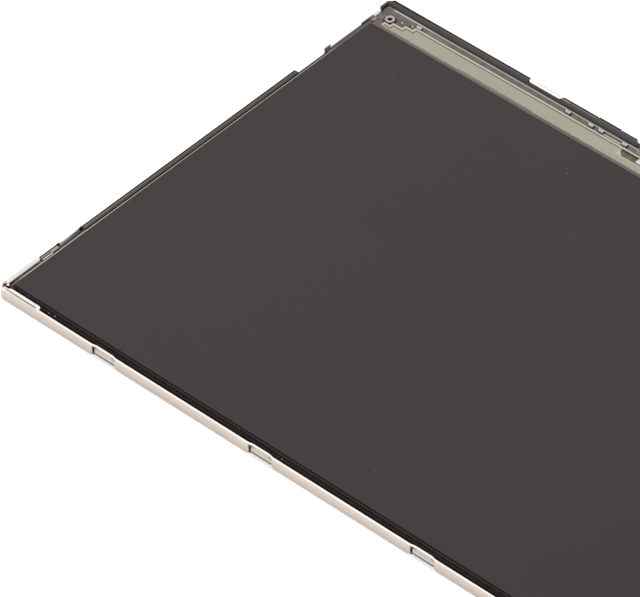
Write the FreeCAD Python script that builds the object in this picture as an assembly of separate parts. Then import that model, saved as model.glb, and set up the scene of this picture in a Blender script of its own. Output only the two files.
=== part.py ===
import FreeCAD
import Part
import math
import os

# Flat display module of the seven-inch class, lying face up.
# X runs along the long side, Y from the near edge to the board's edge, Z up.
# The origin is the middle of the tray's rear face. All sizes are in millimetres.

Vector = FreeCAD.Vector

# Display cell
POLARISER_LENGTH = 157.74
POLARISER_WIDTH = 94.24
POLARISER_THICKNESS = 0.2
REAR_POLARISER_THICKNESS = 0.13
REAR_POLARISER_INSET = 0.25
GLASS_THICKNESS = 0.5
GLASS_MARGIN = 0.3
BOND_LEDGE = 1.95

# Borders from the front polariser to the tray's outer faces
SIDE_BORDER = 1.73
NEAR_BORDER = 2.27
FAR_BORDER = 7.74

# Folded steel tray
SHEET = 0.25
BEND_RADIUS = 0.45
CORNER_RADIUS = 1.2
RIM_ABOVE_POLARISER = 0.15
SHORT_WALL_DROP = 0.3
CORNER_NOTCH_START = 0.5
CORNER_NOTCH_DEPTH = 0.55
LIP_DEPTH = 1.05
LIP_BEND = 0.3
LIP_END_RADIUS = 0.7
NEAR_LIP_LENGTH = 7.8
NEAR_LIP_INSET = 1.9
SHORT_LIP_LENGTH = 8.75
SHORT_LIP_INSET = 1.3
FAR_LIP_LENGTH = 7.8
FAR_LIP_INSET = 33.92
SCORE_WIDTH = 0.1
SCORE_DEPTH = 0.08
SCORE_END = 1.2

# Catch windows with a pressed-in strip
WINDOW_COUNT = 4
WINDOW_PITCH = 36.8
WINDOW_LENGTH = 5.5
WINDOW_CORNER = 0.8
WINDOW_HEAD = 0.4
WINDOW_FLARE_LENGTH = 2.5
WINDOW_FLARE_HEIGHT = 0.5
FLOOR_RELIEF = 1.15
PRESS_DEPTH = 0.2
PRESS_RUN = 1.4
PRESS_LEAD = 0.3
TONGUE_GAP = 0.22
TONGUE_FOOT = 0.75
TONGUE_SET = 0.25
TONGUE_FLARE = 0.3
TONGUE_CORNER = 0.6
SHORT_WINDOW_FROM_NEAR = 17.95

# Cut-outs of the left short wall
SIDE_GAP_FROM_FAR = 18.73
SIDE_GAP_LENGTH = 7.98
SIDE_POST_LENGTH = 1.67
SIDE_SLIT = 0.3
LOW_WALL_LENGTH = 8.3
LOW_WALL_HEIGHT = 1.6
CORNER_GAP_LENGTH = 2.1
GAP_SILL = 0.45

# Moulded frame
FRAME_CLEARANCE = 0.05
FRAME_RIM_HEIGHT = 0.85
NEAR_GROOVE = 0.7
SIDE_GROOVE = 0.35
CELL_GAP = 0.3
GUIDE_SEAT = 1.45
SHELF_RISE = 0.2
BAR_WIDTH = 1.45
BAR_ABOVE_BOARD = 0.65
BAR_REBATE_WIDTH = 0.25
BAR_REBATE_DEPTH = 0.12
CORNER_RETURN_LENGTH = 3.2
CORNER_RETURN_WIDTH = 0.45
CORNER_BLOCK_SIDE = 3.0
CORNER_WELL = 1.75
BAR_CHAMFER = 1.15
FLANGE_THICKNESS = 0.45
FLANGE_GAP = 0.3
CATCH_FROM_NOTCH = 6.15
CATCH_LENGTH = 5.3
NICK = 0.3
FLEX_NOTCH_LENGTH = 41.4
FLEX_NOTCH_CHAMFER = 0.95
PRESS_CLEARANCE = 0.1

# Backlight
REFLECTOR_THICKNESS = 0.1
GUIDE_THICKNESS = 0.6
OPTICAL_SHEET_THICKNESS = 0.1
OPTICAL_GAP = 0.2
SHEET_EAR_LENGTH = 6.0
SHEET_EAR_WIDTH = 0.6
SHEET_EAR_FROM_NEAR = 30.0
SEAT_TAPE_THICKNESS = 0.07
SEAT_TAPE_OVERLAP = 1.4
LED_COUNT = 21
LED_END_GAP = 4.0
LED_LENGTH = 3.0
LED_WIDTH = 1.0
LED_HEIGHT = 0.55
LED_GAP = 0.1
LED_LENS_LENGTH = 2.4
LED_LENS_HEIGHT = 0.3
LED_LENS_DEPTH = 0.12
LED_FLEX_WIDTH = 2.2
LED_FLEX_THICKNESS = 0.1

# Driver board and its parts
BOARD_GAP = 0.05
BOARD_END_GAP = 0.65
EYELET_FROM_END = 2.79
EYELET_FROM_EDGE = 2.86
EYELET_DIAMETER = 2.05
EYELET_BORE = 0.85
EYELET_WALL = 0.15
EYELET_HEIGHT = 0.35
EYELET_BEVEL = 0.12
TEST_POINT_SPOTS = ((5.07, 2.0), (7.22, 1.55))
TEST_POINT_DIAMETER = 0.5
TEST_POINT_CROWN = 0.2
TEST_POINT_HEIGHT = 0.28
TEST_POINT_SIDES = 12
CHIP_LENGTH = 1.05
CHIP_WIDTH = 0.6
CHIP_HEIGHT = 0.38
CHIP_CAP = 0.25
CHIP_CAP_STEP = 0.03
CAPACITOR_FROM_FLEX = (2.7, 8.2, 10.6, 16.0)
CAPACITOR_FROM_EDGE = 0.83
RESISTOR_FROM_END = 8.45
RESISTOR_FROM_EDGE = 1.15
POWER_CHIP_SIDE = 1.1
POWER_CHIP_HEIGHT = 0.4
POWER_CHIP_GAP = 0.1
POWER_CHIP_CHAMFER = 0.05
POWER_CHIP_PITCH = 11.74
POWER_CHIP_COUNT = 4
DRIVER_CHIP_LENGTH = 18.0
DRIVER_CHIP_WIDTH = 0.5
DRIVER_CHIP_HEIGHT = 0.13
DRIVER_CHIP_PITCH = 50.0
DRIVER_CHIP_COUNT = 3
POCKET_CLEARANCE = 0.04

# Bonding strip and protective film over the ledge
BOND_STRIP_THICKNESS = 0.04
BOND_STRIP_LAP = 0.38
BOND_STRIP_INSET = 5.0
FILM_THICKNESS = 0.05
FILM_WIDTH = 3.5
FILM_FROM_GLASS = 0.95
FILM_END_INSET = 3.17
FILM_STEP_RISE = 0.86
FILM_STEP_LENGTHS = (1.37, 2.26, 1.8)
FILM_BORDER = 0.72
FILM_GROOVE = 0.26
FILM_WINDOW_LENGTH = 44.8
FILM_WINDOW_WIDTH = 1.55
FILM_WINDOW_BORDER = 0.43
FILM_WINDOW_CORNER = 0.45
PAD_THICKNESS = 0.1
PAD_NEAR_BORDER = 0.06

# Signal flex with its plug-in end
FLEX_THICKNESS = 0.12
FLEX_FOOT_LENGTH = 40.0
FLEX_FOOT_WIDTH = 1.15
FLEX_FOOT_GAP = 0.1
FLEX_FOOT_CORNER = 0.5
FLEX_NECK = 1.0
FLEX_TAPER = 5.0
FLEX_TAIL = 9.0
CONTACT_COUNT = 40
CONTACT_PITCH = 0.5
CONTACT_WIDTH = 0.3
CONTACT_LENGTH = 3.5
CONTACT_THICKNESS = 0.03
CONTACT_END_GAP = 0.3
CONTACT_MARGIN = 0.5
STIFFENER_LENGTH = 5.5
STIFFENER_THICKNESS = 0.18

# How far a cutting body reaches past what it cuts
OVERCUT = 1.0
QUARTER = math.pi / 2

# Outline of the tray and of the cell, from the display outwards
TRAY_LENGTH = POLARISER_LENGTH + 2 * SIDE_BORDER
TRAY_WIDTH = NEAR_BORDER + POLARISER_WIDTH + FAR_BORDER
LEFT = -TRAY_LENGTH / 2
RIGHT = TRAY_LENGTH / 2
NEAR = -TRAY_WIDTH / 2
FAR = TRAY_WIDTH / 2
POLARISER_NEAR = NEAR + NEAR_BORDER
POLARISER_FAR = FAR - FAR_BORDER
POLARISER_END = POLARISER_LENGTH / 2
GLASS_END = POLARISER_END + GLASS_MARGIN
GLASS_NEAR = POLARISER_NEAR - GLASS_MARGIN
COVER_GLASS_FAR = POLARISER_FAR + GLASS_MARGIN
BASE_GLASS_FAR = COVER_GLASS_FAR + BOND_LEDGE

# Levels of the stack, from the rear face up
FLOOR_TOP = SHEET
REFLECTOR_TOP = FLOOR_TOP + REFLECTOR_THICKNESS
GUIDE_TOP = REFLECTOR_TOP + GUIDE_THICKNESS
DIFFUSER_TOP = GUIDE_TOP + OPTICAL_SHEET_THICKNESS
LOWER_PRISM_TOP = DIFFUSER_TOP + OPTICAL_SHEET_THICKNESS
SEAT_TOP = LOWER_PRISM_TOP + OPTICAL_SHEET_THICKNESS
TAPE_TOP = SEAT_TOP + SEAT_TAPE_THICKNESS
REAR_POLARISER_TOP = TAPE_TOP + REAR_POLARISER_THICKNESS
BASE_GLASS_TOP = REAR_POLARISER_TOP + GLASS_THICKNESS
COVER_GLASS_TOP = BASE_GLASS_TOP + GLASS_THICKNESS
POLARISER_TOP = COVER_GLASS_TOP + POLARISER_THICKNESS
RIM_TOP = POLARISER_TOP + RIM_ABOVE_POLARISER
SHORT_WALL_TOP = RIM_TOP - SHORT_WALL_DROP
SHELF_TOP = SEAT_TOP + SHELF_RISE
BOARD_TOP = BASE_GLASS_TOP
BAR_TOP = BOARD_TOP + BAR_ABOVE_BOARD
FRAME_RIM_TOP = SEAT_TOP + FRAME_RIM_HEIGHT
BOND_STRIP_TOP = BOARD_TOP + BOND_STRIP_THICKNESS
FILM_TOP = BOND_STRIP_TOP + FILM_THICKNESS
PAD_TOP = FILM_TOP + PAD_THICKNESS

# Places that several pieces share
FRAME_GAP = SHEET + FRAME_CLEARANCE
BAR_INNER = FAR - BAR_WIDTH
SEAT_END = GLASS_END - GUIDE_SEAT
SEAT_NEAR = GLASS_NEAR + GUIDE_SEAT
GUIDE_FAR = COVER_GLASS_FAR - GUIDE_SEAT
LED_BAY_FAR = GUIDE_FAR + LED_GAP + LED_FLEX_WIDTH + OPTICAL_GAP
BOARD_LEFT = LEFT + BOARD_END_GAP
BOARD_NEAR = BASE_GLASS_FAR + BOARD_GAP
BOARD_FAR = BAR_INNER - BOARD_GAP
FILM_NEAR = COVER_GLASS_FAR + FILM_FROM_GLASS
FILM_FAR = FILM_NEAR + FILM_WIDTH
FILM_WINDOW_FAR = FILM_FAR - FILM_WINDOW_BORDER
FILM_WINDOW_NEAR = FILM_WINDOW_FAR - FILM_WINDOW_WIDTH
SIDE_GAP_FAR = FAR - SIDE_GAP_FROM_FAR
SIDE_GAP_NEAR = SIDE_GAP_FAR - SIDE_GAP_LENGTH
LOW_WALL_START = SIDE_GAP_FAR + SIDE_POST_LENGTH
SHORT_LIP_FAR = NEAR + SHORT_LIP_INSET + SHORT_LIP_LENGTH
SHORT_WINDOW_HALF = WINDOW_LENGTH / 2 + PRESS_LEAD + FLANGE_GAP
FLANGE_START = NEAR + SHORT_WINDOW_FROM_NEAR + SHORT_WINDOW_HALF
FLANGE_STUB_FAR = NEAR + SHORT_WINDOW_FROM_NEAR - SHORT_WINDOW_HALF
FLANGE_BASE = SHORT_WALL_TOP - FLANGE_THICKNESS
CORNER_GAP_FAR = FAR - CORNER_RETURN_LENGTH
CORNER_GAP_NEAR = CORNER_GAP_FAR - CORNER_GAP_LENGTH
FLEX_END = FAR + FLEX_NECK + FLEX_TAPER + FLEX_TAIL


def block(x0, x1, y0, y1, z0, z1):
    """Straight block between two corners."""
    return Part.makeBox(x1 - x0, y1 - y0, z1 - z0, Vector(x0, y0, z0))


def outline(x0, x1, y0, y1, radius):
    """Closed rectangle with rounded corners, on the level z = 0."""
    if radius <= 0:
        corners = [Vector(x0, y0), Vector(x1, y0), Vector(x1, y1), Vector(x0, y1), Vector(x0, y0)]
        return Part.makePolygon(corners)
    edges = []
    middles = [(x1 - radius, y0 + radius), (x1 - radius, y1 - radius),
               (x0 + radius, y1 - radius), (x0 + radius, y0 + radius)]
    for turn, (cx, cy) in enumerate(middles):
        start = (turn - 1) * QUARTER
        points = [Vector(cx + radius * math.cos(start + a), cy + radius * math.sin(start + a))
                  for a in (0, QUARTER / 2, QUARTER)]
        edges.append(Part.Arc(*points).toShape())
    joined = []
    for i, arc in enumerate(edges):
        following = edges[(i + 1) % len(edges)]
        joined.append(arc)
        joined.append(Part.LineSegment(arc.lastVertex().Point, following.firstVertex().Point).toShape())
    return Part.Wire(joined)


def plate(x0, x1, y0, y1, z0, z1, radius=0.0):
    """Flat plate with rounded corners."""
    face = Part.Face(outline(x0, x1, y0, y1, radius))
    face.translate(Vector(0, 0, z0))
    return face.extrude(Vector(0, 0, z1 - z0))


def slab(points, z0, z1):
    """Flat plate with a straight-sided outline."""
    closed = [Vector(x, y, z0) for x, y in points]
    face = Part.Face(Part.makePolygon(closed + closed[:1]))
    return face.extrude(Vector(0, 0, z1 - z0))


def upright(edges, y0, y1):
    """Extrudes a closed profile drawn in the XZ plane from y0 to y1."""
    face = Part.Face(Part.Wire(edges))
    face.translate(Vector(0, y0, 0))
    return face.extrude(Vector(0, y1 - y0, 0))


def line(a, b):
    return Part.LineSegment(Vector(*a), Vector(*b)).toShape()


def arc(a, b, c):
    return Part.Arc(Vector(*a), Vector(*b), Vector(*c)).toShape()


def placed(shape, x, y, angle):
    """Copy of a shape drawn beside a wall, turned about Z and set on that wall's outer face."""
    copy = shape.copy()
    copy.Placement = FreeCAD.Placement(Vector(x, y, 0), FreeCAD.Rotation(Vector(0, 0, 1), angle))
    return copy


def on_near_wall(shape, x):
    return placed(shape, x, NEAR, 0)


def on_left_wall(shape, y):
    return placed(shape, LEFT, y, -90)


def on_right_wall(shape, y):
    return placed(shape, RIGHT, y, 90)


def on_far_wall(shape, x):
    return placed(shape, x, FAR, 180)


def fused(shapes):
    """One clean solid from pieces that touch or overlap."""
    whole = shapes[0].multiFuse(shapes[1:]) if len(shapes) > 1 else shapes[0]
    return whole.removeSplitter()


def spread(count, pitch):
    """Places of a row that is centred on zero."""
    return [(i - (count - 1) / 2) * pitch for i in range(count)]


def folded_shell():
    """Tray before cutting: one sheet thickness all over, with rounded bends and corners."""
    outer = plate(LEFT, RIGHT, NEAR, FAR, 0, RIM_TOP, CORNER_RADIUS)
    rim_edges = [e for e in outer.Edges if e.BoundBox.ZMax < BEND_RADIUS / 2]
    outer = outer.makeFillet(BEND_RADIUS, rim_edges)
    inner = plate(LEFT + SHEET, RIGHT - SHEET, NEAR + SHEET, FAR - SHEET, SHEET, RIM_TOP + OVERCUT,
                  CORNER_RADIUS - SHEET)
    floor_edges = [e for e in inner.Edges if e.BoundBox.ZMax < SHEET + BEND_RADIUS / 2]
    inner = inner.makeFillet(BEND_RADIUS - SHEET, floor_edges)
    return outer.cut(inner)


def lip(length, base, top):
    """Wall top folded inwards, with rounded free corners, drawn along X with the wall's face at y = 0."""
    inner_bend = LIP_BEND - SHEET
    bend = top - LIP_BEND
    outer_mid = LIP_BEND * (1 - math.sqrt(0.5))
    inner_mid = inner_bend * math.sqrt(0.5)
    edges = [
        line((0, 0, base), (0, 0, bend)),
        arc((0, 0, bend), (0, outer_mid, top - outer_mid), (0, LIP_BEND, top)),
        line((0, LIP_BEND, top), (0, LIP_DEPTH, top)),
        line((0, LIP_DEPTH, top), (0, LIP_DEPTH, top - SHEET)),
        line((0, LIP_DEPTH, top - SHEET), (0, LIP_BEND, top - SHEET)),
        arc((0, LIP_BEND, top - SHEET), (0, LIP_BEND - inner_mid, bend + inner_mid), (0, SHEET, bend)),
        line((0, SHEET, bend), (0, SHEET, base)),
        line((0, SHEET, base), (0, 0, base)),
    ]
    body = Part.Face(Part.Wire(edges)).extrude(Vector(length, 0, 0))
    tips = [e for e in body.Edges if e.BoundBox.YMin > LIP_DEPTH - SHEET and e.BoundBox.XLength < SHEET]
    body = body.makeFillet(LIP_END_RADIUS, tips)
    score = block(LIP_END_RADIUS, length - SCORE_END, LIP_BEND, LIP_BEND + SCORE_WIDTH,
                  top - SCORE_DEPTH, top + OVERCUT)
    return body.cut(score)


def window_cutter(wall_top):
    """Slot through wall, bend and floor edge, round at its head and flared along the bend."""
    half = WINDOW_LENGTH / 2
    head = wall_top - WINDOW_HEAD
    r = WINDOW_CORNER
    mid = r * (1 - math.sqrt(0.5))
    slot = [
        line((-half, 0, -OVERCUT), (-half, 0, head - r)),
        arc((-half, 0, head - r), (-half + mid, 0, head - mid), (-half + r, 0, head)),
        line((-half + r, 0, head), (half - r, 0, head)),
        arc((half - r, 0, head), (half - mid, 0, head - mid), (half, 0, head - r)),
        line((half, 0, head - r), (half, 0, -OVERCUT)),
        line((half, 0, -OVERCUT), (-half, 0, -OVERCUT)),
    ]
    reach = half + WINDOW_FLARE_LENGTH
    sweep = (WINDOW_FLARE_LENGTH ** 2 + WINDOW_FLARE_HEIGHT ** 2) / (2 * WINDOW_FLARE_HEIGHT)
    turn = math.asin(WINDOW_FLARE_LENGTH / sweep) / 2
    mid_x = reach - sweep * math.sin(turn)
    mid_z = sweep * (1 - math.cos(turn))
    flare = [
        line((-reach, 0, -OVERCUT), (-reach, 0, 0)),
        arc((-reach, 0, 0), (-mid_x, 0, mid_z), (-half, 0, WINDOW_FLARE_HEIGHT)),
        line((-half, 0, WINDOW_FLARE_HEIGHT), (half, 0, WINDOW_FLARE_HEIGHT)),
        arc((half, 0, WINDOW_FLARE_HEIGHT), (mid_x, 0, mid_z), (reach, 0, 0)),
        line((reach, 0, 0), (reach, 0, -OVERCUT)),
        line((reach, 0, -OVERCUT), (-reach, 0, -OVERCUT)),
    ]
    end = half + PRESS_LEAD
    bridge_room = block(-end, end, -OVERCUT, 2 * SHEET, head, wall_top + OVERCUT)
    return fused([upright(slot, -OVERCUT, FLOOR_RELIEF), upright(flare, -OVERCUT, BEND_RADIUS), bridge_room])


def pressed_tongue(head):
    """Tongue under the bridge: set back by a joggle, hollow in its middle and turned outwards at its foot."""
    shift = SHEET * math.tan(QUARTER / 4)
    heel = SHEET * math.sqrt(0.5)
    back = PRESS_DEPTH + TONGUE_SET
    knee = TONGUE_FOOT + TONGUE_FLARE
    front = [(PRESS_DEPTH, head), (back, head - TONGUE_SET), (back, knee), (back - TONGUE_FLARE, TONGUE_FOOT)]
    rear = [(back - TONGUE_FLARE + heel, TONGUE_FOOT - heel), (back + SHEET, knee - shift),
            (back + SHEET, head - TONGUE_SET + shift), (PRESS_DEPTH + SHEET, head + shift)]
    side = WINDOW_LENGTH / 2 - TONGUE_GAP
    points = [Vector(-side, y, z) for y, z in front + rear]
    body = Part.Face(Part.makePolygon(points + points[:1])).extrude(Vector(2 * side, 0, 0))
    r = TONGUE_CORNER
    mid = r * (1 - math.sqrt(0.5))
    low = TONGUE_FOOT - heel
    top = head + WINDOW_HEAD
    rounding = [
        line((-side, 0, top), (-side, 0, low + r)),
        arc((-side, 0, low + r), (-side + mid, 0, low + mid), (-side + r, 0, low)),
        line((-side + r, 0, low), (side - r, 0, low)),
        arc((side - r, 0, low), (side - mid, 0, low + mid), (side, 0, low + r)),
        line((side, 0, low + r), (side, 0, top)),
        line((side, 0, top), (-side, 0, top)),
    ]
    return body.common(upright(rounding, -OVERCUT, OVERCUT)).Solids[0]


def pressed_strip(wall_top):
    """Bridge of the wall's rim that swings inwards and back, with its tongue."""
    half = WINDOW_LENGTH / 2
    head = wall_top - WINDOW_HEAD
    end = half + PRESS_LEAD
    flat = end - PRESS_RUN
    radius = (PRESS_RUN ** 2 + PRESS_DEPTH ** 2) / (4 * PRESS_DEPTH)
    turn = math.asin(PRESS_RUN / 2 / radius) / 2
    dx = radius * math.sin(turn)
    dy = radius * (1 - math.cos(turn))
    centre = end - PRESS_RUN / 2
    depth = PRESS_DEPTH

    def swing(side, shift):
        """Two tangent arcs from the wall's face to the pressed face, at one side of the window."""
        outer = arc((side * end, shift, head), (side * (end - dx), dy + shift, head),
                    (side * centre, depth / 2 + shift, head))
        inner = arc((side * centre, depth / 2 + shift, head), (side * (flat + dx), depth - dy + shift, head),
                    (side * flat, depth + shift, head))
        return [outer, inner]

    edges = swing(-1, 0) + [line((-flat, depth, head), (flat, depth, head))] + swing(1, 0)
    edges += [line((end, 0, head), (end, SHEET, head))]
    edges += swing(1, SHEET) + [line((flat, depth + SHEET, head), (-flat, depth + SHEET, head))]
    edges += swing(-1, SHEET) + [line((-end, SHEET, head), (-end, 0, head))]
    face = Part.Face(Part.Wire(Part.__sortEdges__(edges)))
    bridge = face.extrude(Vector(0, 0, wall_top - head))
    return fused([bridge, pressed_tongue(head)])


def lip_places():
    """Each lip with its placing function, its place along the wall and the levels it joins."""
    stem = RIM_TOP - LIP_BEND - SHEET
    rows = []
    for x in (LEFT + NEAR_LIP_INSET, RIGHT - NEAR_LIP_INSET - NEAR_LIP_LENGTH):
        rows.append((on_near_wall, x, NEAR_LIP_LENGTH, stem, RIM_TOP))
    rows.append((on_left_wall, NEAR + SHORT_LIP_INSET + SHORT_LIP_LENGTH, SHORT_LIP_LENGTH, stem, RIM_TOP))
    rows.append((on_right_wall, NEAR + SHORT_LIP_INSET, SHORT_LIP_LENGTH, stem, RIM_TOP))
    for x in (LEFT + FAR_LIP_INSET + FAR_LIP_LENGTH, RIGHT - FAR_LIP_INSET):
        rows.append((on_far_wall, x, FAR_LIP_LENGTH, BOARD_TOP, BAR_TOP))
    return rows


def rear_tray():
    """Folded tray with its catch windows, lips, corner notches and wall cut-outs."""
    tray = folded_shell()
    top = RIM_TOP + OVERCUT
    cuts = [
        block(LEFT - OVERCUT, RIGHT + OVERCUT, CORNER_GAP_FAR, FAR + OVERCUT, BOARD_TOP, top),
        block(LEFT - OVERCUT, LEFT + CORNER_RADIUS, SHORT_LIP_FAR, FAR, SHORT_WALL_TOP, top),
        block(RIGHT - CORNER_RADIUS, RIGHT + OVERCUT, SHORT_LIP_FAR, FAR, SHORT_WALL_TOP, top),
    ]
    notch_near = NEAR + CORNER_NOTCH_START
    notch_far = NEAR + SHORT_LIP_INSET
    for x0, x1 in ((LEFT - OVERCUT, LEFT + CORNER_RADIUS), (RIGHT - CORNER_RADIUS, RIGHT + OVERCUT)):
        cuts.append(block(x0, x1, notch_near, notch_far, RIM_TOP - CORNER_NOTCH_DEPTH, top))
    wall_in = LEFT + BEND_RADIUS
    slit_far = LOW_WALL_START + SIDE_SLIT
    low_far = slit_far + LOW_WALL_LENGTH
    cuts += [block(x0, x1, y0, y1, FLANGE_BASE, top)
             for x0, x1, y0, y1 in flange_runs(LEFT - OVERCUT, wall_in, -wall_in, RIGHT + OVERCUT)]
    cuts.append(block(LEFT - OVERCUT, wall_in, SIDE_GAP_NEAR, SIDE_GAP_FAR, GAP_SILL, top))
    cuts.append(block(LEFT - OVERCUT, wall_in, LOW_WALL_START, slit_far, GAP_SILL, top))
    cuts.append(block(LEFT - OVERCUT, wall_in, slit_far, low_far, LOW_WALL_HEIGHT, top))
    cuts.append(block(LEFT - OVERCUT, wall_in, low_far, CORNER_GAP_NEAR, BOARD_TOP, top))
    cuts.append(block(LEFT - OVERCUT, wall_in, CORNER_GAP_NEAR, CORNER_GAP_FAR, GAP_SILL, top))
    added = []
    for place, spot, length, base, lip_top in lip_places():
        cuts.append(place(block(0, length, -OVERCUT, SHEET, base, top), spot))
        added.append(place(lip(length, base, lip_top), spot))
    for x in spread(WINDOW_COUNT, WINDOW_PITCH):
        cuts.append(on_near_wall(window_cutter(RIM_TOP), x))
        added.append(on_near_wall(pressed_strip(RIM_TOP), x))
    for place in (on_left_wall, on_right_wall):
        cuts.append(place(window_cutter(SHORT_WALL_TOP), NEAR + SHORT_WINDOW_FROM_NEAR))
        added.append(place(pressed_strip(SHORT_WALL_TOP), NEAR + SHORT_WINDOW_FROM_NEAR))
    return fused([tray.cut(cuts)] + added)


def frame_ring():
    """Lower ring of the frame: it stands on the tray's floor and carries the cell's seat tape."""
    ring = plate(LEFT + FRAME_GAP, RIGHT - FRAME_GAP, NEAR + FRAME_GAP, FAR - FRAME_GAP, FLOOR_TOP, SEAT_TOP,
                 CORNER_RADIUS - FRAME_GAP)
    base_edges = [e for e in ring.Edges if e.BoundBox.ZMax < FLOOR_TOP + SHEET]
    ring = ring.makeChamfer(BEND_RADIUS - SHEET, base_edges)
    bay = block(-SEAT_END, SEAT_END, SEAT_NEAR, LED_BAY_FAR, 0, SEAT_TOP + OVERCUT)
    return ring.cut([bay] + sheet_ears(OPTICAL_GAP, 0, SEAT_TOP + OVERCUT))


def frame_rim():
    """Thin upright rim that guards three edges of the glass."""
    outer = block(LEFT + FRAME_GAP + SIDE_GROOVE, RIGHT - FRAME_GAP - SIDE_GROOVE,
                  NEAR + FRAME_GAP + NEAR_GROOVE, BASE_GLASS_FAR, SEAT_TOP, FRAME_RIM_TOP)
    room = GLASS_END + CELL_GAP
    inner = block(-room, room, GLASS_NEAR - CELL_GAP, BASE_GLASS_FAR + OVERCUT,
                  SEAT_TOP - OVERCUT, FRAME_RIM_TOP + OVERCUT)
    return outer.cut(inner)


def flange_runs(left_outer, left_inner, right_inner, right_outer):
    """Stretches where a side flange laps over a short wall, between two lines on each side."""
    stub_near = SHORT_LIP_FAR + FLANGE_GAP
    return [(left_outer, left_inner, stub_near, FLANGE_STUB_FAR),
            (left_outer, left_inner, FLANGE_START, SIDE_GAP_NEAR),
            (right_inner, right_outer, stub_near, FLANGE_STUB_FAR),
            (right_inner, right_outer, FLANGE_START, BASE_GLASS_FAR)]


def side_flanges():
    """Flanges of the two short sides, which lap over the tray's lowered walls and have a rebate outside."""
    room = GLASS_END + CELL_GAP
    step = BAR_REBATE_WIDTH
    runs = flange_runs(LEFT, -room, room, RIGHT)
    steps = flange_runs(LEFT, LEFT + step, RIGHT - step, RIGHT)
    step_level = SHORT_WALL_TOP - BAR_REBATE_DEPTH
    flanges = [block(x0, x1, y0, y1, FLANGE_BASE, SHORT_WALL_TOP) for x0, x1, y0, y1 in runs]
    rebates = [block(x0, x1, y0, y1, step_level, RIM_TOP) for x0, x1, y0, y1 in steps]
    return [flange.cut(rebate) for flange, rebate in zip(flanges, rebates)]


def corner_blocks():
    """Raised blocks of the frame beside its near corners, which the lips hold down."""
    whole = plate(LEFT + FRAME_GAP, RIGHT - FRAME_GAP, NEAR + FRAME_GAP, FAR - FRAME_GAP,
                  SEAT_TOP, RIM_TOP - SHEET, CORNER_RADIUS - FRAME_GAP)
    room = GLASS_END + CELL_GAP
    whole = whole.cut(block(-room, room, GLASS_NEAR - CELL_GAP, FAR, 0, RIM_TOP))
    side = CORNER_BLOCK_SIDE
    corners = [block(x, x + side, NEAR, NEAR + side, SEAT_TOP, RIM_TOP) for x in (LEFT, RIGHT - side)]
    wells = [block(x, x + CORNER_RADIUS, NEAR, NEAR + CORNER_WELL, SEAT_TOP, RIM_TOP)
             for x in (LEFT, RIGHT - CORNER_RADIUS)]
    return [solid for corner in corners for solid in whole.common(corner).cut(wells).Solids]


def frame_bar():
    """Board shelf and raised bar along the far edge, which laps over the tray's low wall."""
    shelf = plate(LEFT + FRAME_GAP, RIGHT - FRAME_GAP, BOARD_NEAR, FAR - FRAME_GAP, SEAT_TOP, SHELF_TOP, 0)
    bar = block(LEFT + FRAME_GAP, RIGHT - FRAME_GAP, BAR_INNER, FAR - FRAME_GAP, SHELF_TOP, BAR_TOP)
    corner = CORNER_RADIUS - FRAME_GAP
    inside = plate(LEFT + FRAME_GAP, RIGHT - FRAME_GAP, NEAR, FAR - FRAME_GAP, SEAT_TOP, BAR_TOP, corner)
    cap = [block(LEFT, RIGHT, BAR_INNER, FAR, BOARD_TOP, BAR_TOP)]
    for x0, x1 in ((LEFT, LEFT + CORNER_RETURN_WIDTH), (RIGHT - CORNER_RETURN_WIDTH, RIGHT)):
        cap.append(block(x0, x1, CORNER_GAP_FAR, BAR_INNER, BOARD_TOP, BAR_TOP))
    cut = BAR_CHAMFER
    corners = [slab([(x, FAR), (x + side * cut, FAR), (x, FAR - cut)], BOARD_TOP, RIM_TOP)
               for x, side in ((LEFT, 1), (RIGHT, -1))]
    return fused([fused([shelf, bar]).common(inside)] + cap).cut(corners)


def bar_cuts():
    """Room in the bar for the folded lips, the catches' nicks, the outer rebate and the signal flex."""
    cuts = []
    for place, spot, length, base, lip_top in lip_places()[-2:]:
        room = block(-PRESS_CLEARANCE, length + PRESS_CLEARANCE, -OVERCUT, LIP_DEPTH + PRESS_CLEARANCE,
                     base - LIP_DEPTH, lip_top + OVERCUT)
        cuts.append(place(room, spot))
    half = FLEX_NOTCH_LENGTH / 2
    reach = half + FLEX_NOTCH_CHAMFER
    notch = [(-half, BAR_INNER - BOARD_GAP), (half, BAR_INNER - BOARD_GAP), (half, FAR - FLEX_NOTCH_CHAMFER),
             (reach, FAR), (reach, FAR + OVERCUT), (-reach, FAR + OVERCUT), (-reach, FAR),
             (-half, FAR - FLEX_NOTCH_CHAMFER)]
    cuts.append(slab(notch, BOARD_TOP, BAR_TOP + OVERCUT))
    rebate_y = FAR - BAR_REBATE_WIDTH
    rebate_z = BAR_TOP - BAR_REBATE_DEPTH
    for side in (-1, 1):
        catch = side * (reach + CATCH_FROM_NOTCH)
        outer_run = sorted((catch + side * CATCH_LENGTH / 2, side * (TRAY_LENGTH / 2 - CORNER_RADIUS)))
        inner_run = sorted((catch - side * CATCH_LENGTH / 2, side * (half + FLEX_NOTCH_CHAMFER / 2)))
        for x0, x1 in (outer_run, inner_run):
            cuts.append(block(x0, x1, rebate_y, FAR + OVERCUT, rebate_z, BAR_TOP + OVERCUT))
        for x in (catch - CATCH_LENGTH / 2, catch + CATCH_LENGTH / 2):
            cuts.append(slab([(x - NICK, FAR + NICK), (x, FAR - NICK), (x + NICK, FAR + NICK)],
                             BOARD_TOP, BAR_TOP + OVERCUT))
    return cuts


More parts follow.
